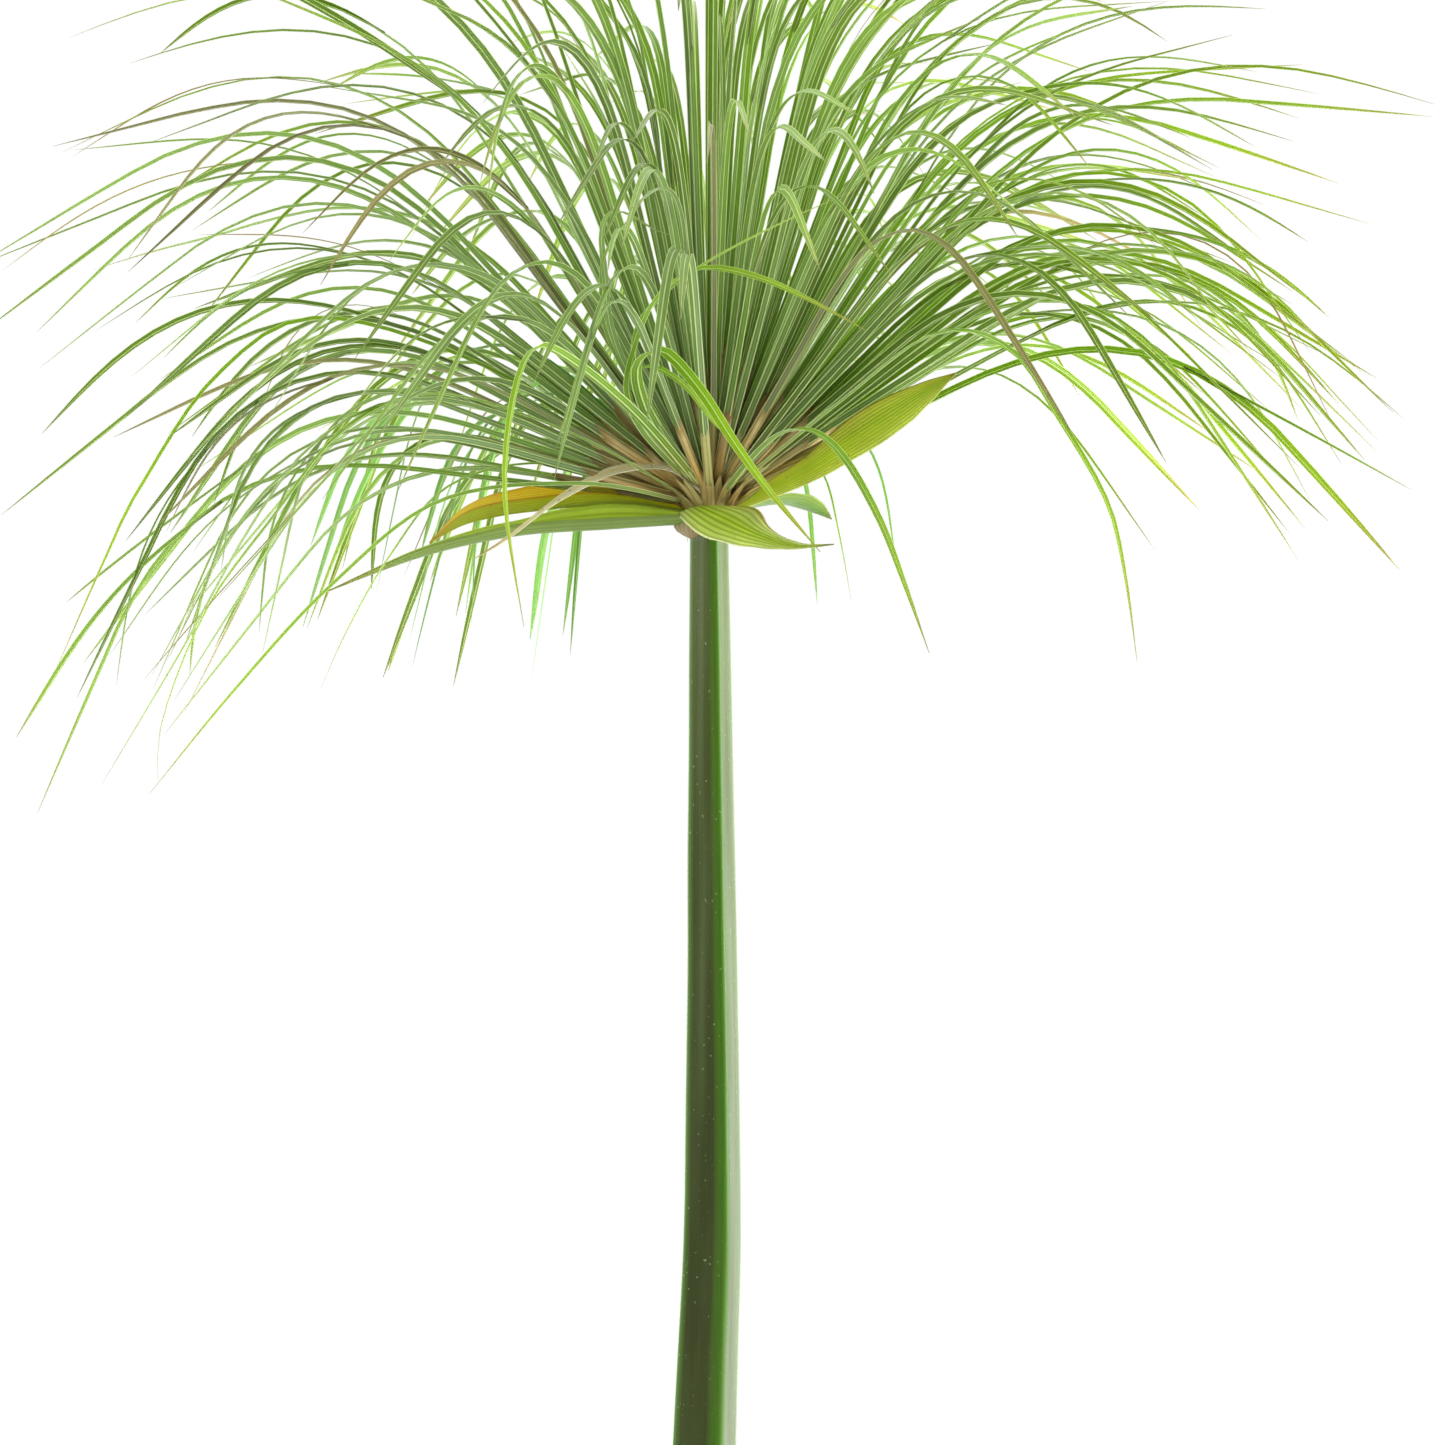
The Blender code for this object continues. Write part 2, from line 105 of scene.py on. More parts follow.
def litThrough(tree, skin, colour, glow, glowShare, through):
    # thin tissue: some of the light behind it comes through, coloured towards glow
    glowing = addNode(tree, "ShaderNodeMix", {0: glowShare, 6: colour, 7: glow}, data_type="RGBA").outputs[2]
    behind = addNode(tree, "ShaderNodeBsdfTranslucent", {"Color": glowing}).outputs[0]
    return addNode(tree, "ShaderNodeMixShader", {0: through, 1: skin, 2: behind}).outputs[0]


def objectNoise(tree, scale, detail=3.0, stretch=(1.0, 1.0, 1.0), roughness=0.5):
    # scale is in patches to a metre, before the stretch
    place = addNode(tree, "ShaderNodeTexCoord").outputs["Object"]
    spread = addNode(tree, "ShaderNodeMapping", {"Vector": place, "Scale": stretch}).outputs[0]
    values = {"Vector": spread, "Scale": scale, "Detail": detail, "Roughness": roughness}
    return addNode(tree, "ShaderNodeTexNoise", values).outputs[0]


# A grass-like leaf: waxy skin over thin green tissue that lets light through; on the green leaves the pale edge colour
# is painted light, standing for the light coming through most along their sharp edges.
# Colours run from the foot to the tip; veins is how many cross a face's width, and their dark bands are deepened into
# painted shade.
leafLooks = {
    "raySkin": {
        "name": "sedge ray, waxy skin over green pith",
        "stops": [(0.0, "#c4b070"), (0.06, "#98a250"), (0.2, "#709434"), (0.6, "#82a828"), (0.85, "#a4ba30"),
                  (1.0, "#b8924e")],
        "tinted": "#9aaf88", "glow": "#ccf000", "edge": "#eef8b4", "through": 0.42, "veins": 2, "veinAndShadeDepth": 0.95,
        "roughness": 0.38, "relief": 0.00010,
    },
    "dryingSkin": {
        "name": "sedge ray, skin drying brown from its tip",
        "stops": [(0.0, "#c4b070"), (0.06, "#98a250"), (0.2, "#6a8a3c"), (0.45, "#8a9650"), (0.65, "#ac9c64"),
                  (1.0, "#b88e5c")],
        "tinted": "#a0a888", "glow": "#d4d860", "edge": "#e0dc90", "through": 0.36, "veins": 2, "veinAndShadeDepth": 0.8,
        "roughness": 0.42, "relief": 0.00010,
    },
    # the rays at the back: a paler, bluer copy of the ray skin, painted light for the haze of the bright light behind
    # them
    "rearHazedSkin": {
        "name": "sedge ray, bluish-green skin paled by painted backlight",
        "stops": [(0.0, "#b4bc88"), (0.15, "#98bc68"), (0.8, "#9cc464"), (1.0, "#bcc48c")],
        "tinted": "#a8c890", "glow": "#b8e878", "edge": "#b4dc94", "through": 0.45, "veins": 2, "veinAndShadeDepth": 0.3,
        "roughness": 0.4, "relief": 0.00006,
    },
    "threadSkin": {
        "name": "sedge flower stalk, dry thin skin",
        "stops": [(0.0, "#a5a862"), (0.4, "#b8a468"), (0.8, "#c2a273"), (1.0, "#c9aa84")],
        "tinted": "#a9b070", "glow": "#dcd070", "edge": "#c8b880", "through": 0.4, "veins": 1, "veinAndShadeDepth": 0.1,
        "roughness": 0.5, "relief": 0.00003,
    },
    "sheathSkin": {
        "name": "sedge sheath, dry paper",
        "stops": [(0.0, "#b8924c"), (0.45, "#deba70"), (0.85, "#eed69a"), (1.0, "#a8854c")],
        "tinted": "#c8c880", "glow": "#f0d080", "edge": "#a08454", "through": 0.35, "veins": 3, "veinAndShadeDepth": 0.35,
        "roughness": 0.55, "relief": 0.00012,
    },
}
waveTurn = 0.314  # a wave texture's scale that gives one band to each unit of length


def leafMaterial(look):
    material, tree = newMaterial(look["name"])
    names = ("along", "tint", "shade")
    along, tint, shade = (
        addNode(tree, "ShaderNodeAttribute", attribute_name=name).outputs["Fac"] for name in names
    )
    strip = addNode(tree, "ShaderNodeUVMap", uv_map="Strip").outputs["UV"]
    base = addNode(tree, "ShaderNodeValToRGB", {0: along}, stops=look["stops"]).outputs["Color"]
    bands = {"Vector": strip, "Scale": look["veins"] * waveTurn, "Distortion": 0.4, "Detail": 1.0}
    veins = addNode(tree, "ShaderNodeTexWave", bands, bands_direction="X").outputs["Fac"]
    lightness = addNode(tree, "ShaderNodeMapRange", {0: shade, 3: 0.48, 4: 1.36}).outputs[0]  # from leaf to leaf
    values = {"Color": layered(tree, base, look["tinted"], tint), "Value": lightness}
    colour = addNode(tree, "ShaderNodeHueSaturation", values).outputs[0]
    darker = addNode(tree, "ShaderNodeHueSaturation", {"Color": colour, "Value": 0.42, "Saturation": 1.1}).outputs[0]
    # the fibre lines, deepened into painted shade that stands for a ray's face turned from the light, fade to under
    # half their depth towards the tip
    depths = {0: along, 1: 0.25, 2: 0.9, 3: look["veinAndShadeDepth"], 4: look["veinAndShadeDepth"] * 0.45}
    fading = addNode(tree, "ShaderNodeMapRange", depths).outputs[0]
    veinsAndPaintedShade = addNode(tree, "ShaderNodeMath", {0: veins, 1: fading}, operation="MULTIPLY").outputs[0]
    colour = layered(tree, colour, darker, veinsAndPaintedShade)
    patches = objectNoise(tree, 45.0, 2.0)  # patches about 20 mm long
    colour = layered(tree, colour, darker, patches, 0.4, 0.7, 0.25)
    wide = addNode(tree, "ShaderNodeSeparateXYZ", {0: strip}).outputs["X"]
    paintedEdgeLight = addNode(tree, "ShaderNodeMath", {0: wide, 1: 0.5}, operation="PINGPONG").outputs[0]
    # on the green leaves the edge colour along both edges is painted light, standing for light shining through them
    colour = layered(tree, colour, look["edge"], paintedEdgeLight, 0.20, 0.04, 0.85)
    wax = {"IOR": 1.45, "Specular IOR Level": 0.32}
    skin = skinOf(tree, colour, look["roughness"], veins, look["relief"], 0.7, wax)
    return finishMaterial(material, litThrough(tree, skin, colour, look["glow"], 0.6, look["through"]))


leafMaterials = {key: leafMaterial(look) for key, look in leafLooks.items()}


def alongCurve(points, share):
    # a smooth curve through the points
    last = len(points) - 1
    step = min(int(share * last), last - 1)
    part = share * last - step
    a, b, c, d = (points[max(0, min(last, step + side))] for side in (-1, 0, 1, 2))
    return 0.5 * (
        2 * b + (c - a) * part + (2 * a - 5 * b + 4 * c - d) * part**2 + (3 * b - a - 3 * c + d) * part**3
    )


def lengthOf(path):
    return sum((two - one).length for one, two in zip(path, path[1:]))


def evenPath(points, stations, fineness=60):
    # the curve through the points, cut into equal lengths
    fine = [alongCurve(points, step / fineness) for step in range(fineness + 1)]
    run = [0.0]
    for one, two in zip(fine, fine[1:]):
        run.append(run[-1] + (two - one).length)
    path = []
    step = 0
    for station in range(stations):
        wanted = run[-1] * station / (stations - 1)
        while step < fineness - 1 and run[step + 1] < wanted:
            step += 1
        part = (wanted - run[step]) / max(1e-9, run[step + 1] - run[step])
        path.append(fine[step].lerp(fine[step + 1], min(1.0, part)))
    return path


def smoothShare(share):
    share = min(1.0, max(0.0, share))
    return share * share * (3 - 2 * share)


def droopingPath(start, direction, length, endSlope, stations, bendFrom=0.0, bendTo=1.0, sweep=0.0):
    slope = math.asin(max(-1.0, min(1.0, direction.z)))
    heading = math.atan2(direction.y, direction.x)
    points = [start.copy()]
    for station in range(stations - 1):
        share = (station + 0.5) / (stations - 1)
        bent = slope + (endSlope - slope) * smoothShare((share - bendFrom) / (bendTo - bendFrom))
        turned = heading + sweep * share
        flat = Vector((math.cos(turned), math.sin(turned), 0))
        points.append(points[-1] + (flat * math.cos(bent) + up * math.sin(bent)) * length / (stations - 1))
    return points


def newBuild():
    mesh = bmesh.new()
    build = {"mesh": mesh, "columns": 0}
    for name in ("along", "tint", "shade"):
        build[name] = mesh.verts.layers.float.new(name)
    for name in ("station", "point"):
        build[name] = mesh.verts.layers.int.new(name)
    build["strip"] = mesh.loops.layers.uv.new("Strip")
    build["bake"] = mesh.loops.layers.uv.new("OFBake")
    return build


def meshOf(name, build):
    mesh = bpy.data.meshes.new(name)
    build.to_mesh(mesh)
    build.free()
    return mesh


# A section is drawn counter-clockwise, seen from the tip: x across the leaf and y towards its upper side.
raySection = ((-0.96, 0.40), (0.0, -0.85), (0.96, 0.40), (0.0, 0.24))
bladeSection = ((-1.0, 0.30), (0.0, -0.26), (1.0, 0.30), (0.0, -0.02))
tubeSection = tuple((math.cos(turn * math.tau / 6), math.sin(turn * math.tau / 6)) for turn in range(6))
straightShapes = {}


def straightShape(corners, stations):
    # an upright column one unit long, its rings and sides numbered, that every long shape is bent from
    if (corners, stations) in straightShapes:
        return straightShapes[corners, stations]
    build = newBuild()
    mesh = build["mesh"]
    bmesh.ops.create_cone(mesh, cap_ends=True, segments=corners, radius1=1, radius2=1, depth=1)
    uprights = [edge for edge in mesh.edges if abs(edge.verts[0].co.z - edge.verts[1].co.z) > 0.5]
    bmesh.ops.subdivide_edges(mesh, edges=uprights, cuts=stations - 2)
    firstAngle = math.atan2(mesh.verts[:][0].co.y, mesh.verts[:][0].co.x)
    for corner in mesh.verts:
        angle = math.atan2(corner.co.y, corner.co.x) - firstAngle
        corner[build["station"]] = round((corner.co.z + 0.5) * (stations - 1))
        corner[build["point"]] = round(angle / math.tau * corners) % corners
        corner[build["along"]] = corner[build["station"]] / (stations - 1)
    for face in mesh.faces:
        face.smooth = True
        points = {corner[build["point"]] for corner in face.verts}
        isSide = len(face.verts) == 4 and len(points) == 2
        low = corners - 1 if points == {0, corners - 1} else min(points)
        for loop in face.loops:
            share = loop.vert[build["along"]]
            wide = 0.0 if loop.vert[build["point"]] == low else 1.0
            loop[build["strip"]].uv = (wide if isSide else 0.5, share)
            # each side has its own column to bake into, a little clear of the next one
            loop[build["bake"]].uv = (low + 0.08 + 0.84 * wide, 0.01 + 0.98 * share) if isSide else (0.1, 0.001)
    for edge in mesh.edges:
        one, two = (corner[build["point"]] for corner in edge.verts)
        edge.smooth = corners > 4 or one != two
    straightShapes[corners, stations] = meshOf("straight", mesh)
    return straightShapes[corners, stations]


def addStrip(
    build, path, section, halfWidths, slot, tint, side, roll=0.0, twist=0.0, mouth=0.0, endSection=None, shade=0.6
):
    # one long shape whose section follows the path; side is the level direction across it at its foot
    mesh = build["mesh"]
    stations = len(path)
    frames = []
    for station in range(stations):
        ahead = (path[min(station + 1, stations - 1)] - path[max(station - 1, 0)]).normalized()
        across = (side - ahead * side.dot(ahead)).normalized()
        across = Matrix.Rotation(roll + twist * station / (stations - 1), 3, ahead) @ across
        frames.append((across, ahead.cross(across), ahead))
    oldCorners, oldFaces = len(mesh.verts), len(mesh.faces)
    mesh.from_mesh(straightShape(len(section), stations))
    for corner in mesh.verts[:][oldCorners:]:
        station = corner[build["station"]]
        across, above, ahead = frames[station]
        x, y = section[corner[build["point"]]]
        if endSection:
            x, y = Vector((x, y)).lerp(endSection[corner[build["point"]]], smoothShare(station / stations * 1.5))
        half = halfWidths[station]
        corner.co = path[station] + across * x * half + above * y * half
        if mouth and station == stations - 1:
            corner.co += ahead * mouth * (y + x * 0.4)
        corner[build["tint"]] = tint
        corner[build["shade"]] = shade
    slotNumber = list(leafLooks).index(slot)
    for face in mesh.faces[:][oldFaces:]:
        face.material_index = slotNumber
        for loop in face.loops:
            loop[build["bake"]].uv.x += build["columns"]
    build["columns"] += len(section)


def placePiece(name, mesh, replaced, materials):
    for material in materials:
        mesh.materials.append(material)
    piece = bpy.data.objects.new(name, mesh)
    bpy.context.scene.collection.objects.link(piece)
    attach(piece, "root")
    if replaced:
        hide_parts(*replaced)
    return piece


def finishBuild(build, name, replaced):
    mesh = meshOf(name, build["mesh"])
    for corner in mesh.uv_layers["OFBake"].data:
        corner.uv = (corner.uv[0] / build["columns"], corner.uv[1])
    placePiece(name, mesh, replaced, leafMaterials.values())


rayLook = {
    "seed": 11,
    "perSolid": 5,
    "rightExtra": 3,
    "lowSlope": 0.72,
    "spread": math.radians(11),
    "lowest": math.radians(8),
    "lowBelow": math.radians(42),
    "bractRange": (math.radians(-62), math.radians(2)),
    "bractClear": math.radians(29),
    "stations": 26,
    "footHalf": 0.0019,
    "footSpread": (0.78, 1.1),
    "bladeHalf": (0.0013, 0.0019),
    "roll": 0.7,
    "twist": 0.6,
    "dryingChance": (0.03, 0.38),
    "sheathLength": (0.010, 0.052),
    "sheathWidths": (0.98, 1.05, 1.05, 1.03, 1.0),
    "sideBlades": (0, 0, 1, 1),
    "sideStations": 18,
    "sideFrom": (0.34, 0.66),
    "sideHalf": (0.0011, 0.0016),
    "sideLean": (1, 7),
    "sideLength": (0.75, 1.08),
    "sideFall": (-24, 20),
    "sideSweep": 0.25,
    "threadHalf": 0.00045,
    "threadChance": 0.14,
    "lineStations": 13,
    "lengthSpread": (0.88, 1.03),
    "leftShortening": 0.18,
    "steepShortening": 0.08,
    "endSlopeSpread": math.radians(15),
    "steepestEnd": math.radians(-86),
    "rightLift": math.radians(7),
    "rightFallLess": math.radians(4),
    "bendFrom": (0.16, 0.30),
    "bendLaterIfSteep": 0.27,
    "bendOver": (0.45, 0.6),
    "sweep": 0.12,
}
# Rays at the back: degrees round from the right, degrees up, and length.
rearWidth = 0.72  # of the other rays' width
rearLook = {
    **rayLook,
    "rays": [(50, 32, 0.150), (61, 27, 0.140), (112, 27, 0.195), (119, 36, 0.21), (124, 25, 0.20), (129, 33, 0.215),
             (133, 37, 0.22), (138, 29, 0.215), (143, 33, 0.23), (149, 38, 0.235), (154, 30, 0.245)],
    "footHalf": rayLook["footHalf"] * rearWidth,
    "bladeHalf": tuple(half * rearWidth for half in rayLook["bladeHalf"]),
    "sheathLength": (0.006, 0.012),
    "fall": (-86, -66),
    "bendFrom": (0.18, 0.28),
    "bendTo": (0.7, 0.9),
    "sweep": 0.5,
}
knobScalesLook = {
    "seed": 11,
    "count": 40,
    "stations": 8,
    "length": (0.010, 0.024),
    "half": (0.0014, 0.0024),
    "height": (-0.0045, -0.001),
    "lean": (38, 70),
}


def solidLine(name, closeness=0.005):
    # the centre line of a ray's solid, from the hub outwards
    rings = []
    for corner in {tuple(round(value, 5) for value in vert.co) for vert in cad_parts[name].data.vertices}:
        point = Vector(corner)
        near = next((ring for ring in rings if (ring[0] - point).length < closeness), None)
        if near:
            near.append(point)
        else:
            rings.append([point])
    centres = [sum(ring, Vector()) / len(ring) for ring in rings]
    line = [hub]
    while centres:
        nearest = min(centres, key=lambda centre: (centre - line[-1]).length)
        centres.remove(nearest)
        line.append(nearest)
    return line[1:]


def slopeOf(direction):
    return math.asin(max(-1.0, min(1.0, direction.normalized().z)))


def levelSide(direction):
    heading = math.atan2(direction.y, direction.x)
    return Vector((-math.sin(heading), math.cos(heading), 0))


def heading(azimuth, rise):
    return Vector((math.cos(azimuth) * math.cos(rise), math.sin(azimuth) * math.cos(rise), math.sin(rise)))


def greyTintWithPaintedShade(direction, chance):
    # a random grey tint, plus painted shade: greyer on the left and in front, where the light from behind doesn't come
    # through
    return min(0.9, max(0.0, 0.34 - 0.46 * direction.x - 0.28 * direction.y + chance.uniform(-0.32, 0.32)))


def addRay(build, line, chance, look, slot="raySkin"):
    # a three-edged stalk that flattens into a long blade, with a papery sheath round its foot
    # and perhaps a side blade
    path = evenPath(line, look["stations"])
    out = (line[4] - line[0]).normalized()
    side = levelSide(out)
    # tint holds a random grey plus painted shade, greyer on the left and in front
    tint, shade = greyTintWithPaintedShade(out, chance), chance.random()
    least, leftwards = look["dryingChance"]
    if slot == "raySkin" and chance.random() < least + leftwards * max(0.0, -out.x):
        slot = "dryingSkin"
    foot = look["footHalf"] * chance.uniform(*look["footSpread"])
    end = chance.uniform(*look["bladeHalf"])
    widths = []
    for station in range(look["stations"]):
        share = station / (look["stations"] - 1)
        widths.append((foot + (end - foot) * smoothShare(share / 0.6)) * max(0.05, 1 - share**10))
    roll = chance.uniform(-look["roll"], look["roll"])
    twist = chance.uniform(-look["twist"], look["twist"])
    addStrip(build, path, raySection, widths, slot, tint, side, roll, twist, 0.0, bladeSection, shade)

    total = lengthOf(path)
    sheathShare = chance.uniform(*look["sheathLength"]) / total
    last = len(look["sheathWidths"]) - 1
    sheath = [alongCurve(path, sheathShare * step / last) for step in range(last + 1)]
    wide = [foot * factor for factor in look["sheathWidths"]]
    sheathTint = min(1.0, max(0.0, chance.uniform(-0.2, 1.0)))
    addStrip(
        build, sheath, tubeSection, wide, "sheathSkin", sheathTint, side, roll, mouth=foot * 2.4,
        shade=chance.random(),
    )
    for blade in range(chance.choice(look["sideBlades"])):
        addSideBlade(build, path, total, slopeOf(line[-1] - line[-2]), side, tint, slot, chance, look)


def addSideBlade(build, path, total, endSlope, side, tint, slot, chance, look):
    startShare = chance.uniform(*look["sideFrom"])
    foot = alongCurve(path, startShare)
    ahead = (alongCurve(path, startShare + 0.03) - foot).normalized()
    isThread = chance.random() < look["threadChance"]
    turn = Matrix.Rotation(chance.uniform(0, math.tau), 3, ahead)
    direction = Matrix.Rotation(math.radians(chance.uniform(*look["sideLean"])), 3, turn @ side) @ ahead
    length = total * (1 - startShare) * chance.uniform(*look["sideLength"])
    fall = endSlope + math.radians(chance.uniform(*look["sideFall"]))
    fall = max(math.radians(-88), min(slopeOf(ahead), fall))
    sweep = chance.uniform(-look["sideSweep"], look["sideSweep"])
    bendTo = chance.uniform(0.75, 1.0)
    beside = droopingPath(foot, direction, length, fall, look["sideStations"], 0.05, bendTo, sweep)
    half = look["threadHalf"] if isThread else chance.uniform(*look["sideHalf"])
    tint = tint * 0.8 + chance.uniform(0, 0.1)
    widths = []
    for station in range(look["sideStations"]):
        share = station / (look["sideStations"] - 1)
        widths.append(half * (0.6 + 0.4 * smoothShare(share / 0.15)) * max(0.05, 1 - share**7))
    roll = chance.uniform(-look["twist"], look["twist"])
    slot = "threadSkin" if isThread else slot
    addStrip(
        build, beside, bladeSection, widths, slot, tint, levelSide(direction), roll, 0.5, shade=chance.random()
    )


def neighbourLine(line, number, chance, look):
    # a ray that starts beside the principal one and falls in its own curve
    reach = look["spread"] * math.sqrt((number + 0.3) / look["perSolid"])
    angle = number * math.radians(137.5) + chance.uniform(-0.6, 0.6)
    first = (line[1] - line[0]).normalized()
    rightwards, leftwards = max(0.0, first.x), max(0.0, -first.x)
    rise = slopeOf(first) + reach * math.sin(angle)
    isLow = rise < look["lowBelow"]
    rise += look["rightLift"] * rightwards if isLow else 0.0
    azimuth = math.atan2(first.y, first.x) + reach * math.cos(angle) / max(0.3, math.cos(slopeOf(first)))
    rise = max(rise, 2 * look["lowest"] - rise)
    if look["bractRange"][0] < azimuth < look["bractRange"][1]:
        rise = max(rise, 2 * look["bractClear"] - rise)  # none hangs in front of the right bract
    direction = heading(azimuth, rise)
    total = lengthOf(line) * chance.uniform(*look["lengthSpread"])
    total *= 1 - (look["leftShortening"] * leftwards if isLow else look["steepShortening"] * first.x)
    fall = slopeOf(line[-1] - line[-2]) + chance.uniform(-1, 1) * look["endSlopeSpread"]
    fall += look["rightFallLess"] * rightwards
    fall = max(look["steepestEnd"], min(slopeOf(direction) - look["lowest"], fall))
    bendFrom = chance.uniform(*look["bendFrom"]) + look["bendLaterIfSteep"] * max(0.0, rise) / (math.pi / 2)
    start = hub + direction * (line[0] - hub).length
    bendTo = bendFrom + chance.uniform(*look["bendOver"])
    sweep = chance.uniform(-look["sweep"], look["sweep"])
    return droopingPath(start, direction, total, fall, look["lineStations"], bendFrom, bendTo, sweep)


def makeRearTuft(look):
    # low rays at the back, whose blades hang well below the knob
    build = newBuild()
    chance = random.Random(look["seed"])
    for turn, lift, length in look["rays"]:
        direction = heading(math.radians(turn), math.radians(lift))
        fall = math.radians(chance.uniform(*look["fall"]))
        bendFrom, bendTo = chance.uniform(*look["bendFrom"]), chance.uniform(*look["bendTo"])
        sweep = chance.uniform(-look["sweep"], look["sweep"])
        start = hub + direction * knobHigh.x
        line = droopingPath(start, direction, length, fall, look["lineStations"], bendFrom, bendTo, sweep)
        addRay(build, line, chance, look, "rearHazedSkin")
    finishBuild(build, "rearTuft", [])
    print("rear tuft:", len(look["rays"]), "rays")


def makeKnobScales(look):
    # the brown papery scales that wrap the feet of the outermost rays
    build = newBuild()
    chance = random.Random(look["seed"])
    last = look["stations"] - 1
    for number in range(look["count"]):
        azimuth = math.tau * (number + chance.uniform(-0.3, 0.3)) / look["count"]
        out = heading(azimuth, 0.0)
        foot = hub + out * (knobHigh.x * 0.94) + up * chance.uniform(*look["height"])
        lean = math.radians(chance.uniform(*look["lean"]))
        direction = out * math.cos(lean) + up * math.sin(lean)
        path = droopingPath(foot, direction, chance.uniform(*look["length"]), lean * 0.8, look["stations"])
        half = chance.uniform(*look["half"])
        widths = [half * max(0.08, 1 - (step / last) ** 2.5) for step in range(look["stations"])]
        addStrip(build, path, bladeSection, widths, "sheathSkin", chance.random() * 0.8, levelSide(out))
    finishBuild(build, "knobScales", [])
    print("knob scales:", look["count"])


def makeUmbel(look):
    rays = sorted(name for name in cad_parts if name.startswith("ray_"))
    for name in rays:
        chance = random.Random(f"{look['seed']} {name}")
        line = solidLine(name)
        build = newBuild()
        addRay(build, line, chance, look)
        first = (line[1] - line[0]).normalized()
        # low rays on the right stand closer together
        extra = look["rightExtra"] * max(0.0, first.x) if first.z < look["lowSlope"] else 0
        for number in range(1, look["perSolid"] + round(extra)):
            addRay(build, neighbourLine(line, number, chance, look), chance, look)
        finishBuild(build, name.replace("ray", "rayTuft"), [name])
    print("umbel:", len(rays), "tufts of", look["perSolid"], "rays or more")


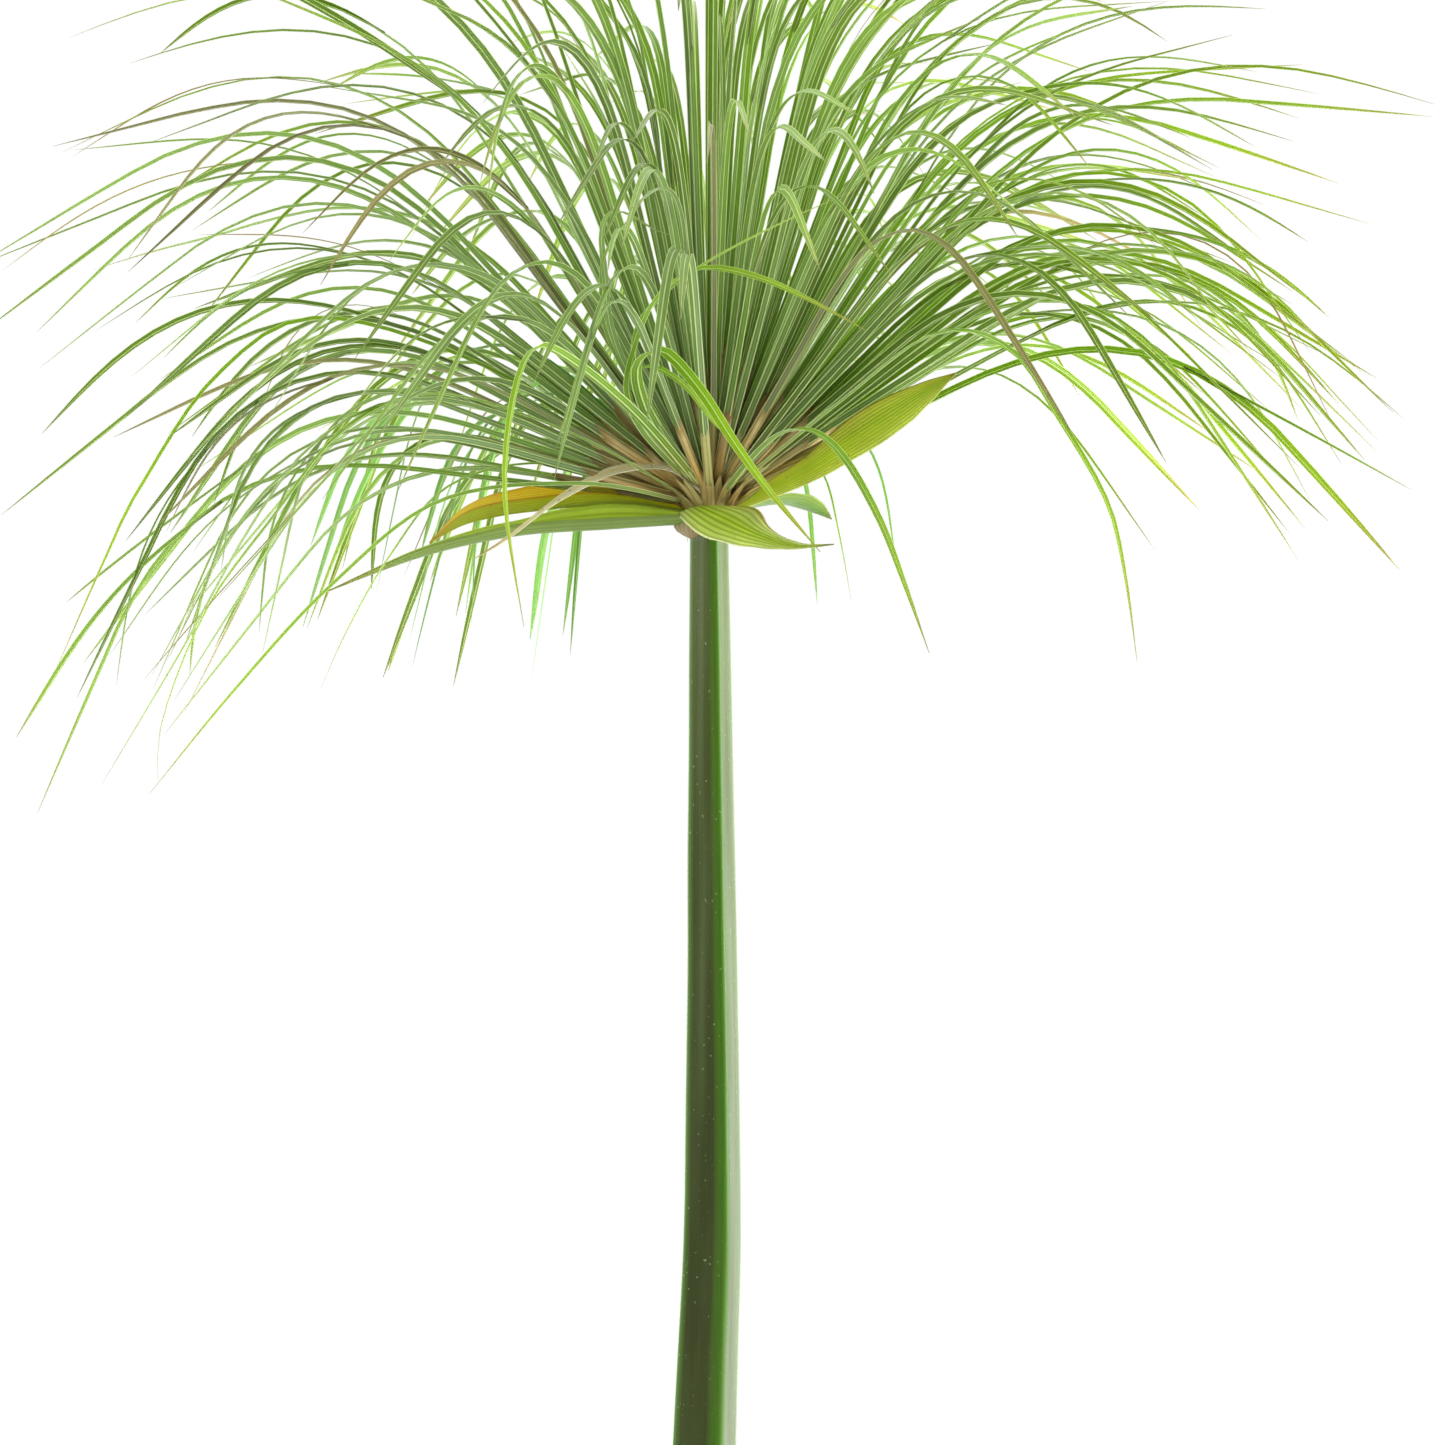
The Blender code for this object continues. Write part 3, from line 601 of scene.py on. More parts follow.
# Blades that hang over the front of the umbel, each on its own curve: right, back and up from the hub.
frontBladesLook = {
    "seed": 5,
    # what stands this far in front of the stem is brought nearer the viewer by these factors
    "inFront": 0.02,
    "besideStem": 0.1,
    "nearStemFactor": 1.9,
    "sideFactor": 1.25,
    "widening": 1.25,
    "stations": 34,
    "roll": 0.4,
    "shade": 0.95,
    # half width, tint and curve of each
    "blades": [
        # two bright ones that fall straight down to the left of the stem, and steeply across it
        (0.0017, 0.0, [(-0.004, -0.008, 0.006), (-0.03, -0.045, 0.036), (-0.059, -0.085, 0.059),
            (-0.07, -0.1, 0.058), (-0.077, -0.11, 0.035), (-0.079, -0.115, 0.001), (-0.072, -0.118, -0.047)]),
        (0.0019, 0.0, [(-0.003, -0.01, 0.006), (-0.021, -0.03, 0.029), (-0.028, -0.045, 0.046),
            (-0.027, -0.055, 0.056), (-0.018, -0.063, 0.059), (-0.004, -0.072, 0.044), (0.009, -0.08, 0.024),
            (0.022, -0.086, 0.006), (0.042, -0.092, -0.018)]),
        (0.0011, 0.2, [(-0.003, -0.01, 0.006), (-0.02, -0.03, 0.03), (-0.029, -0.042, 0.048),
            (-0.026, -0.048, 0.053), (-0.019, -0.053, 0.052), (-0.009, -0.058, 0.045), (0.002, -0.064, 0.031),
            (0.015, -0.07, 0.02)]),
        # the arch over the hub, and two finer ones above it
        (0.0015, 0.1, [(-0.006, -0.008, 0.008), (-0.025, -0.03, 0.028), (-0.032, -0.042, 0.044),
            (-0.029, -0.052, 0.061), (-0.02, -0.06, 0.081), (-0.004, -0.066, 0.091), (0.017, -0.07, 0.088),
            (0.038, -0.073, 0.079), (0.06, -0.075, 0.067)]),
        (0.0014, 0.1, [(-0.006, -0.008, 0.008), (-0.027, -0.036, 0.045), (-0.028, -0.046, 0.068),
            (-0.018, -0.054, 0.081), (-0.007, -0.06, 0.09), (0.008, -0.066, 0.099), (0.03, -0.07, 0.11),
            (0.057, -0.074, 0.122)]),
        (0.001, 0.5, [(-0.01, -0.008, 0.01), (-0.038, -0.04, 0.062), (-0.042, -0.048, 0.086),
            (-0.04, -0.053, 0.098), (-0.033, -0.058, 0.108), (-0.02, -0.062, 0.126)]),
        (0.0011, 0.7, [(-0.01, -0.008, 0.01), (-0.036, -0.042, 0.06), (-0.041, -0.05, 0.09),
            (-0.042, -0.055, 0.106), (-0.038, -0.06, 0.113), (-0.03, -0.064, 0.111), (-0.022, -0.067, 0.106),
            (-0.012, -0.07, 0.103)]),
        # to the right of the stem
        (0.0014, 0.3, [(0.005, -0.009, 0.004), (0.017, -0.03, 0.019), (0.028, -0.046, 0.028),
            (0.04, -0.06, 0.028), (0.052, -0.07, 0.017), (0.065, -0.078, -0.006), (0.074, -0.084, -0.029),
            (0.084, -0.09, -0.057)]),
        (0.0009, 0.0, [(0.01, 0.008, 0.006), (0.03, 0.04, 0.024), (0.043, 0.06, 0.012), (0.049, 0.066, -0.01),
            (0.054, 0.07, -0.037)]),
        (0.0013, 0.1, [(0.008, -0.007, 0.006), (0.05, -0.03, 0.04), (0.086, -0.05, 0.066),
            (0.115, -0.06, 0.06), (0.134, -0.066, 0.033), (0.152, -0.072, 0.002), (0.159, -0.075, -0.025),
            (0.164, -0.078, -0.06)]),
        # the low ones on the left
        (0.0013, 0.2, [(-0.01, -0.006, 0.001), (-0.05, -0.022, 0.008), (-0.104, -0.04, 0.0015),
            (-0.146, -0.052, -0.031), (-0.183, -0.062, -0.071), (-0.216, -0.07, -0.111)]),
        (0.0012, 0.1, [(-0.01, -0.007, 0.003), (-0.05, -0.03, 0.026), (-0.104, -0.06, 0.043),
            (-0.14, -0.07, 0.03), (-0.168, -0.078, -0.004), (-0.194, -0.084, -0.04), (-0.211, -0.088, -0.082),
            (-0.213, -0.09, -0.106)]),
        (0.0016, 0.0, [(-0.01, -0.003, 0.004), (-0.08, -0.012, 0.05), (-0.15, -0.02, 0.072),
            (-0.19, -0.024, 0.05), (-0.22, -0.026, 0.006), (-0.231, -0.027, -0.016),
            (-0.252, -0.029, -0.063)]),
        (0.0012, 0.2, [(-0.01, -0.004, 0.002), (-0.06, -0.015, 0.016), (-0.1, -0.024, 0.008),
            (-0.124, -0.03, -0.02), (-0.14, -0.034, -0.048), (-0.15, -0.036, -0.07)]),
    ],
}


def frontPoint(look, right, back, high):
    # a place that lines up, from in front, with one on the plane of the stem, brought nearer the viewer
    if back <= -look["inFront"]:
        back *= look["nearStemFactor"] if abs(right) < look["besideStem"] else look["sideFactor"]
    nearer = 1 + back / stageLook["distance"]
    middle, below = stageLook["aimRight"], stageLook["aimBelowHub"]
    return hub + Vector((middle + (right - middle) * nearer, back, (high + below) * nearer - below))


def makeFrontBlades(look):
    build = newBuild()
    chance = random.Random(look["seed"])
    last = look["stations"] - 1
    for half, tint, points in look["blades"]:
        path = evenPath([frontPoint(look, *point) for point in points], look["stations"])
        side = levelSide(path[-1] - path[0])
        half *= look["widening"]
        widths = [half * max(0.06, 1 - (step / last) ** 5) for step in range(look["stations"])]
        roll = chance.uniform(-look["roll"], look["roll"])
        addStrip(build, path, bladeSection, widths, "raySkin", tint, side, roll, 0.5, shade=look["shade"])
    finishBuild(build, "frontBlades", [])
    print("front blades:", len(look["blades"]))


# A bract is one thin leaf between two margins, with its keel between them; end is where all three meet. Points
# are right, back and up from the hub. across holds the colours from the first margin to the second, and tip is
# what its end dries to.
bractThickness = 0.0005
bractLooks = {
    "bractFront": {
        "replaces": "bract_front", "slot": "bract_green", "veins": 9, "dark": 1.0,
        "across": [(0.0, "#fafad8"), (0.07, "#e8f4a0"), (0.5, "#d2ea68"), (0.85, "#f0f8b4"),
                   (1.0, "#b0904c")],
        "glow": "#e4f81e", "through": 0.42, "tip": "#8b7444", "tipFrom": 0.86,
        "near": [(-0.013, -0.012, -0.004), (-0.004, -0.024, -0.0125), (0.01, -0.03, -0.0165),
                 (0.028, -0.034, -0.0182)],
        "keel": [(-0.005, -0.015, -0.001), (0.006, -0.024, -0.0065), (0.018, -0.031, -0.0125),
                 (0.032, -0.035, -0.0168)],
        "far": [(0.008, -0.01, -0.001), (0.018, -0.018, -0.0022), (0.024, -0.026, -0.011),
                (0.035, -0.031, -0.0158)],
        "end": (0.047, -0.036, -0.0162),
    },
    "bractRight": {
        "replaces": "bract_right", "slot": "bract_green", "veins": 12, "dark": 0.8,
        "across": [(0.0, "#e6ee98"), (0.2, "#d4e468"), (0.55, "#c0da48"), (0.9, "#dce058"), (1.0, "#b49c48")],
        "glow": "#f0f870", "through": 0.4, "tip": "#b08a2c", "tipFrom": 0.9,
        "near": [(0.009, -0.008, -0.003), (0.035, -0.016, 0.0065), (0.0547, -0.02, 0.0165),
                 (0.074, -0.022, 0.029), (0.084, -0.022, 0.0385)],
        "keel": [(0.01, -0.006, 0.0), (0.035, -0.012, 0.012), (0.051, -0.015, 0.0225),
                 (0.068, -0.018, 0.0335), (0.082, -0.02, 0.0425)],
        "far": [(0.011, -0.004, 0.002), (0.035, -0.011, 0.0175), (0.0466, -0.014, 0.028),
                (0.061, -0.016, 0.038), (0.08, -0.019, 0.046)],
        "end": (0.094, -0.02, 0.05),
    },
    "bractLeftLong": {
        "replaces": "bract_left_long", "slot": "bract_green", "veins": 10, "dark": 0.5,
        # painted shade and light: its first half darker, as the half in shade, its second half paler, as the lit half
        "across": [(0.0, "#9ab060"), (0.4, "#86a450"), (0.52, "#bcd46c"), (0.8, "#d0e068"), (1.0, "#e0ec90")],
        "glow": "#d8f040", "through": 0.42, "tip": "#b3a040", "tipFrom": 0.8,
        "near": [(-0.008, -0.013, -0.004), (-0.04, -0.02, -0.0055), (-0.075, -0.026, -0.0085),
                 (-0.11, -0.03, -0.0175)],
        "keel": [(-0.009, -0.009, -0.0075), (-0.04, -0.014, -0.0095), (-0.075, -0.019, -0.0125),
                 (-0.11, -0.024, -0.0205)],
        "far": [(-0.01, -0.003, -0.002), (-0.04, -0.004, 0.0008), (-0.0735, -0.008, -0.0055),
                (-0.108, -0.016, -0.0155)],
        "end": (-0.146, -0.03, -0.034),
    },
    "bractLeftYellow": {
        "replaces": "bract_left_yellow", "slot": "bract_yellow", "veins": 11, "dark": 0.3,
        "across": [(0.0, "#a8c050"), (0.4, "#b8cc40"), (0.49, "#c08a34"), (0.56, "#f0dc50"),
                   (0.85, "#f2d444"), (1.0, "#d0a038")],
        "glow": "#fff040", "through": 0.42, "tip": "#c08a28", "tipFrom": 0.82,
        "near": [(-0.009, -0.005, -0.003), (-0.035, -0.006, 0.0), (-0.06, -0.008, -0.002),
                 (-0.09, -0.008, -0.0065)],
        "keel": [(-0.009, 0.0, -0.001), (-0.04, -0.002, 0.0045), (-0.065, -0.002, 0.003),
                 (-0.092, -0.003, -0.002)],
        "far": [(-0.009, 0.005, 0.0), (-0.042, 0.004, 0.0088), (-0.066, 0.004, 0.0082),
                (-0.092, 0.001, 0.0012)],
        "end": (-0.1085, -0.006, -0.015),
    },
    "bractDry": {
        "replaces": "bract_dry", "slot": "bract_dry", "veins": 5, "thickness": 0.0004, "dark": 0.18,
        # painted light: its near-white colours, paler than the dry straw, make up for the shade the rays above cast on
        # it
        "across": [(0.0, "#faf4d4"), (0.3, "#fffbe4"), (0.6, "#faeeb8"), (1.0, "#fffbe8")],
        "glow": "#fff4b8", "through": 0.35, "tip": "#cdb478", "tipFrom": 0.75,
        "near": [(-0.004, -0.012, 0.004), (-0.014, -0.019, 0.0115), (-0.024, -0.024, 0.0128),
                 (-0.039, -0.029, 0.0095), (-0.057, -0.032, 0.0005), (-0.077, -0.035, -0.0143)],
        "keel": [(-0.004, -0.012, 0.006), (-0.014, -0.018, 0.0135), (-0.024, -0.022, 0.0145),
                 (-0.039, -0.028, 0.011), (-0.057, -0.031, 0.0018), (-0.077, -0.034, -0.0135)],
        "far": [(-0.004, -0.011, 0.008), (-0.014, -0.016, 0.0155), (-0.024, -0.02, 0.0165),
                (-0.039, -0.026, 0.0132), (-0.0565, -0.03, 0.0035), (-0.0765, -0.033, -0.0125)],
        "end": (-0.09, -0.036, -0.022),
    },
    "bractBackLeft": {
        "replaces": "bract_back_left", "slot": "bract_green", "veins": 11, "dark": 0.45,
        "across": [(0.0, "#9cb43a"), (0.3, "#7ca62c"), (0.5, "#5f8f2c"), (0.8, "#86b02c"), (1.0, "#a58f3c")],
        "glow": "#c4ea1e", "through": 0.42, "tip": "#a58a3c", "tipFrom": 0.84,
        "near": [(-0.01, 0.004, -0.001), (-0.026, 0.018, 0.004), (-0.04, 0.038, 0.007),
                 (-0.05, 0.058, 0.006)],
        "keel": [(-0.006, 0.008, -0.003), (-0.02, 0.024, 0.0), (-0.032, 0.044, 0.003),
                 (-0.044, 0.062, 0.003)],
        "far": [(-0.002, 0.011, -0.001), (-0.012, 0.028, 0.004), (-0.023, 0.048, 0.007),
                (-0.038, 0.066, 0.006)],
        "end": (-0.053, 0.078, 0.002),
    },
    "bractBackRight": {
        "replaces": "bract_back_right", "slot": "bract_green", "veins": 11, "dark": 0.45,
        "across": [(0.0, "#a58f3c"), (0.2, "#86b02c"), (0.5, "#5f8f2c"), (0.8, "#7ca62c"), (1.0, "#9cb43a")],
        "glow": "#c4ea1e", "through": 0.42, "tip": "#a58a3c", "tipFrom": 0.84,
        "near": [(0.004, 0.011, -0.001), (0.009, 0.028, 0.004), (0.02, 0.048, 0.006), (0.034, 0.062, 0.003)],
        "keel": [(0.007, 0.008, -0.003), (0.016, 0.024, 0.0), (0.028, 0.042, 0.002), (0.039, 0.058, 0.0)],
        "far": [(0.01, 0.004, -0.001), (0.023, 0.018, 0.004), (0.036, 0.036, 0.006), (0.044, 0.054, 0.003)],
        "end": (0.048, 0.07, -0.003),
    },
    "bractScale": {
        "replaces": "bract_scale", "slot": "bract_brown", "veins": 7, "dark": 0.5,
        "across": [(0.0, "#b09c74"), (0.4, "#c7b892"), (0.7, "#a58e66"), (1.0, "#8f7650")],
        "glow": "#d8c08c", "through": 0.2, "tip": "#7d6340", "tipFrom": 0.6,
        "near": [(-0.011, -0.006, -0.003), (-0.0145, -0.008, -0.0062), (-0.013, -0.01, -0.0105)],
        "keel": [(-0.006, -0.0095, -0.003), (-0.008, -0.0125, -0.0062), (-0.0085, -0.0132, -0.0105)],
        "far": [(0.001, -0.0105, -0.003), (0.0005, -0.0122, -0.006), (-0.0025, -0.0128, -0.01)],
        "end": (-0.007, -0.0112, -0.0135),
    },
}


def bractMaterial(name, look):
    # waxy leaf, grown with raised parallel veins; thin enough for the light behind it to turn it yellow-green
    material, tree = newMaterial(f"sedge bract, waxy veined leaf, {name[5:].lower()}")
    strip = addNode(tree, "ShaderNodeUVMap", uv_map="Strip").outputs["UV"]
    parts = addNode(tree, "ShaderNodeSeparateXYZ", {0: strip}).outputs
    base = addNode(tree, "ShaderNodeValToRGB", {0: parts["X"]}, stops=look["across"]).outputs["Color"]
    bands = {"Vector": strip, "Scale": look["veins"] * waveTurn, "Distortion": 1.2, "Detail": 2.0, "Detail Scale": 0.6}
    veins = addNode(tree, "ShaderNodeTexWave", bands, bands_direction="X").outputs["Fac"]
    darker = addNode(tree, "ShaderNodeHueSaturation", {"Color": base, "Value": 0.43, "Saturation": 1.12}).outputs[0]
    colour = layered(tree, base, darker, veins, 0.35, 1.0, look["dark"])
    lengthwise = addNode(tree, "ShaderNodeMapping", {"Vector": strip, "Scale": (1.0, 0.07, 1.0)}).outputs[0]
    values = {"Vector": lengthwise, "Scale": look["veins"] * 1.6, "Detail": 3.0}
    fibres = addNode(tree, "ShaderNodeTexNoise", values).outputs[0]
    colour = layered(tree, colour, darker, fibres, 0.42, 0.72, look["dark"] * 0.55)
    patches = objectNoise(tree, 70.0, 3.0)  # patches about 14 mm across
    colour = layered(tree, colour, darker, patches, 0.4, 0.7, look["dark"] * 0.45)
    flecks = objectNoise(tree, 420.0, 1.0)  # brown flecks about 1 mm across
    colour = layered(tree, colour, "#8a6a3a", flecks, 0.72, 0.77, 0.45)
    colour = layered(tree, colour, look["tip"], parts["Y"], look["tipFrom"], 1.0, 0.9)
    skin = skinOf(tree, colour, 0.4, veins, 0.0002, 0.8, {"IOR": 1.45})
    return finishMaterial(material, litThrough(tree, skin, colour, look["glow"], 0.5, look["through"]))


def makeBract(name, look):
    build = bmesh.new()
    strip = build.loops.layers.uv.new("Strip")
    bmesh.ops.create_grid(build, x_segments=12, y_segments=34, size=0.5)
    places = {corner: (corner.co.x + 0.5, corner.co.y + 0.5) for corner in build.verts}
    edges = [[hub + Vector(point) for point in look[side] + [look["end"]]] for side in ("near", "keel", "far")]
    for corner, (wide, share) in places.items():
        near, keel, far = (alongCurve(line, share) for line in edges)
        across = 2 * wide - 1
        corner.co = near * (across**2 - across) / 2 + keel * (1 - across**2) + far * (across**2 + across) / 2
        ripple = noise.noise(Vector((wide * 3.0, share * 9.0, len(name)))) * 0.0007 * across**2
        corner.co.z += ripple * math.sin(math.pi * share)
    for face in build.faces:
        face.smooth = True
        for loop in face.loops:
            loop[strip].uv = places[loop.vert]
    bmesh.ops.remove_doubles(build, verts=build.verts, dist=0.00005)
    material = bractMaterial(name, look)
    piece = placePiece(name, meshOf(name, build), [look["replaces"]], [material])
    wall = piece.modifiers.new("Wall", "SOLIDIFY")
    wall.thickness = look.get("thickness", bractThickness)
    wall.offset = 0.0
    finer = piece.modifiers.new("Finer", "SUBSURF")
    finer.levels = finer.render_levels = 1


def makeBracts(looks):
    for name, look in looks.items():
        makeBract(name, look)
    print("bracts:", len(looks))


# The stem: a solid column with three rounded edges, its skin waxed and finely ribbed along its length.
stemLook = {
    "sides": 96,
    "rings": 150,
    "edgeTurn": math.radians(281),
    "edgeSharpness": 3.6,
    "ribs": 46,
    "ribDepth": 0.00005,
    "waver": 0.0004,
    "twist": math.radians(7),
}


def mergedCopy(name):
    build = bmesh.new()
    build.from_mesh(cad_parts[name].data)
    bmesh.ops.remove_doubles(build, verts=build.verts, dist=0.00002)
    bmesh.ops.recalc_face_normals(build, faces=build.faces)
    return build


def stemRings():
    # height, middle and distance to the flat faces, at each ring of the stem's solid
    build = mergedCopy("culm")
    rings = {}
    for corner in build.verts:
        rings.setdefault(round(corner.co.z, 3), []).append(corner.co.copy())
    build.free()
    found = []
    for height in sorted(rings):
        middle = sum(rings[height], Vector()) / len(rings[height])
        found.append((height, middle, min((point - middle).length for point in rings[height])))
    return found


rings = stemRings()


def stemPoint(height, angle, look, offset=0.0):
    foot, top = rings[0], rings[-1]
    share = (height - foot[0]) / (top[0] - foot[0])
    middle = alongCurve([ring[1] for ring in rings], min(1.0, max(0.0, share)))
    flat = foot[2] + (top[2] - foot[2]) * share
    total = 0.0
    for side in range(3):
        face = look["edgeTurn"] + look["twist"] * (1 - share) + math.pi + side * math.tau / 3
        total += max(0.0, math.cos(angle - face)) ** look["edgeSharpness"]
    reach = flat * total ** (-1 / look["edgeSharpness"]) + offset
    return Vector((middle.x + math.cos(angle) * reach, middle.y + math.sin(angle) * reach, height))


def edgeCloseness(angle, share, look):
    # 1 on one of the stem's three edges, 0 in the middle of a face
    turn = angle - look["edgeTurn"] - look["twist"] * (1 - share)
    return (0.5 + 0.5 * math.cos(3 * turn)) ** 3


def column(sides, rings, capped):
    build = bmesh.new()
    bmesh.ops.create_cone(build, cap_ends=capped, segments=sides, radius1=1, radius2=1, depth=1)
    bmesh.ops.translate(build, verts=build.verts, vec=(0, 0, 0.5))
    uprights = [edge for edge in build.edges if abs(edge.verts[0].co.z - edge.verts[1].co.z) > 0.5]
    bmesh.ops.subdivide_edges(build, edges=uprights, cuts=rings - 2, use_grid_fill=True)
    for face in build.faces:
        face.smooth = len(face.verts) == 4
    return build


def stemMaterial():
    # living sedge skin: dark green under a pale wax bloom that shows where the light grazes it
    material, tree = newMaterial("papyrus stem, ribbed skin with a wax bloom")
    ridge = addNode(tree, "ShaderNodeAttribute", attribute_name="ridge").outputs["Fac"]
    along = addNode(tree, "ShaderNodeAttribute", attribute_name="along").outputs["Fac"]
    stops = [(0.0, "#4c4c20"), (0.10, "#2e3008"), (0.6, "#252804"), (0.85, "#363e08"), (1.0, "#44500c")]
    base = addNode(tree, "ShaderNodeValToRGB", {0: along}, stops=stops).outputs["Color"]
    colour = layered(tree, base, "#4f8a1c", ridge, 0.35, 1.0, 0.6)
    streaks = objectNoise(tree, 900.0, 2.0, (1.0, 1.0, 0.02))  # ribs about 1 mm apart, 50 mm long
    colour = layered(tree, colour, "#2c3814", streaks, 0.35, 0.7, 0.3)
    clouds = objectNoise(tree, 55.0, 3.0, (1.0, 1.0, 0.25))  # paler patches 20 mm wide
    colour = layered(tree, colour, "#4a5828", clouds, 0.45, 0.75, 0.3)
    specks = objectNoise(tree, 750.0, 0.0)  # pale specks about 1 mm across
    colour = layered(tree, colour, "#a9b88c", specks, 0.80, 0.83, 0.35)
    wax = {
        "IOR": 1.45, "Coat Weight": 0.05, "Coat Roughness": 0.25, "Specular IOR Level": 0.15,
        "Sheen Weight": 0.42, "Sheen Roughness": 0.45, "Sheen Tint": "#a8e058",
    }
    return finishMaterial(material, skinOf(tree, colour, 0.33, streaks, 0.00012, 0.6, wax))


def roundNoise(angle, across, third):
    # noise that meets itself again after a full turn
    return noise.noise(Vector((math.cos(angle) * across, math.sin(angle) * across, third)))


def makeStem(look):
    build = column(look["sides"], look["rings"], True)
    along = build.verts.layers.float.new("along")
    ridge = build.verts.layers.float.new("ridge")
    foot, top = rings[0][0], rings[-1][0]
    for corner in build.verts:
        share = corner.co.z
        angle = math.atan2(corner.co.y, corner.co.x)
        sag = roundNoise(angle, 1, share * 9) * look["waver"]
        rib = look["ribDepth"] * math.cos(angle * look["ribs"])
        corner.co = stemPoint(foot + (top - foot) * share, angle, look, sag + rib)
        corner[along] = share
        corner[ridge] = edgeCloseness(angle, share, look)
    placePiece("stem", meshOf("stem", build), ["culm"], [stemMaterial()])
    print("stem")


def paperMaterial():
    # dead leaf sheath: dry brown paper with coarse fibres, split and paler at its mouth
    material, tree = newMaterial("papyrus leaf sheath, dry fibrous paper")
    along = addNode(tree, "ShaderNodeAttribute", attribute_name="along").outputs["Fac"]
    stops = [(0.0, "#3f2c1c"), (0.3, "#6b4a2c"), (0.7, "#94703f"), (0.92, "#b8965e"), (1.0, "#5c4226")]
    base = addNode(tree, "ShaderNodeValToRGB", {0: along}, stops=stops).outputs["Color"]
    fibres = objectNoise(tree, 700.0, 3.0, (1.0, 1.0, 0.03))  # fibres about 1.4 mm apart
    colour = layered(tree, base, "#3d2a1a", fibres, 0.35, 0.7, 0.7)
    clouds = objectNoise(tree, 60.0, 4.0)  # stains about 16 mm across
    colour = layered(tree, colour, "#8d8a4e", clouds, 0.42, 0.7, 0.6)
    return finishMaterial(material, skinOf(tree, colour, 0.72, fibres, 0.0005, 0.9, {"Sheen Weight": 0.2}))


sheathLook = {
    "sides": 72,
    "rings": 26,
    "thickness": 0.0008,
    "fit": 0.0007,
    "mouthDrop": 0.45,
    "ragged": 0.05,
    "folds": 9,
    "fold": 0.0006,
    "flare": 0.0022,
}


def makeStemSheaths(look):
    material = paperMaterial()
    names = sorted(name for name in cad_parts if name.startswith("basal_sheath"))
    foot = rings[0][0]
    for index, name in enumerate(names):
        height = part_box(name)[1].z - foot
        build = column(look["sides"], look["rings"], False)
        along = build.verts.layers.float.new("along")
        fit = look["fit"] + index * (look["thickness"] + look["fit"])
        pointAngle = stemLook["edgeTurn"] + index * math.tau / 3
        for corner in build.verts:
            angle, share = math.atan2(corner.co.y, corner.co.x), corner.co.z
            drop = look["mouthDrop"] * (0.5 - 0.5 * math.cos(angle - pointAngle))
            ragged = look["ragged"] * (roundNoise(angle, 4, index * 7) + 0.5)
            level = height * share * (1 - (drop + ragged) * share)
            fold = look["fold"] * (0.5 + 0.5 * math.sin(angle * look["folds"] + share * 4 + index)) * share
            flare = look["flare"] * share**6 * (0.6 + noise.noise(Vector((angle * 2, index * 3.0, 0))))
            corner.co = stemPoint(foot + level, angle, stemLook, fit + fold + flare)
            corner[along] = share
        sleeve = f"stemSheath_{index + 1}"
        piece = placePiece(sleeve, meshOf(name, build), [name], [material])
        wall = piece.modifiers.new("Wall", "SOLIDIFY")
        wall.thickness = look["thickness"]
        wall.offset = 1.0
    print("stem sheaths:", len(names))


def makeKnob():
    # the knob where stem, rays and bracts meet: pale pithy tissue, ringed with scars
    material, tree = newMaterial("papyrus receptacle, pale corky tissue")
    grain = objectNoise(tree, 500.0, 3.0, (1.0, 1.0, 0.3))  # corky grain about 2 mm
    stops = [(0.3, "#8c7a4e"), (0.55, "#b3a878"), (0.75, "#c9c79a")]
    base = addNode(tree, "ShaderNodeValToRGB", {0: grain}, stops=stops).outputs["Color"]
    finishMaterial(material, skinOf(tree, base, 0.7, grain, 0.0004, 0.7))
    build = mergedCopy("receptacle")
    for face in build.faces:
        face.smooth = True
    piece = placePiece("knob", meshOf("knob", build), ["receptacle"], [material])
    finer = piece.modifiers.new("Finer", "SUBSURF")
    finer.levels = finer.render_levels = 2
    print("knob")


rhizomeLook = {
    "voxel": 0.0016,
    "smoothing": 4,
    "inset": 0.0008,
    "lump": 0.0022,
    "scarSpacing": 0.0085,
    "scarWander": 0.003,
    "scarDepth": 0.0011,
}


def barkMaterial():
    # living bark of an underground stem: rough brown flakes, darker where old scales fell off
    material, tree = newMaterial("papyrus rootstock, rough living bark")
    grain = objectNoise(tree, 160.0, 5.0, roughness=0.65)  # bark flakes about 6 mm
    scars = addNode(tree, "ShaderNodeAttribute", attribute_name="scar").outputs["Fac"]
    stops = [(0.28, "#2a1c12"), (0.48, "#57402a"), (0.62, "#7c6140"), (0.8, "#a08a5e")]
    base = addNode(tree, "ShaderNodeValToRGB", {0: grain}, stops=stops).outputs["Color"]
    colour = layered(tree, base, "#2b1b10", scars, 0.0, 1.0, 0.75)
    return finishMaterial(material, skinOf(tree, colour, 0.85, grain, 0.0012, 0.9))


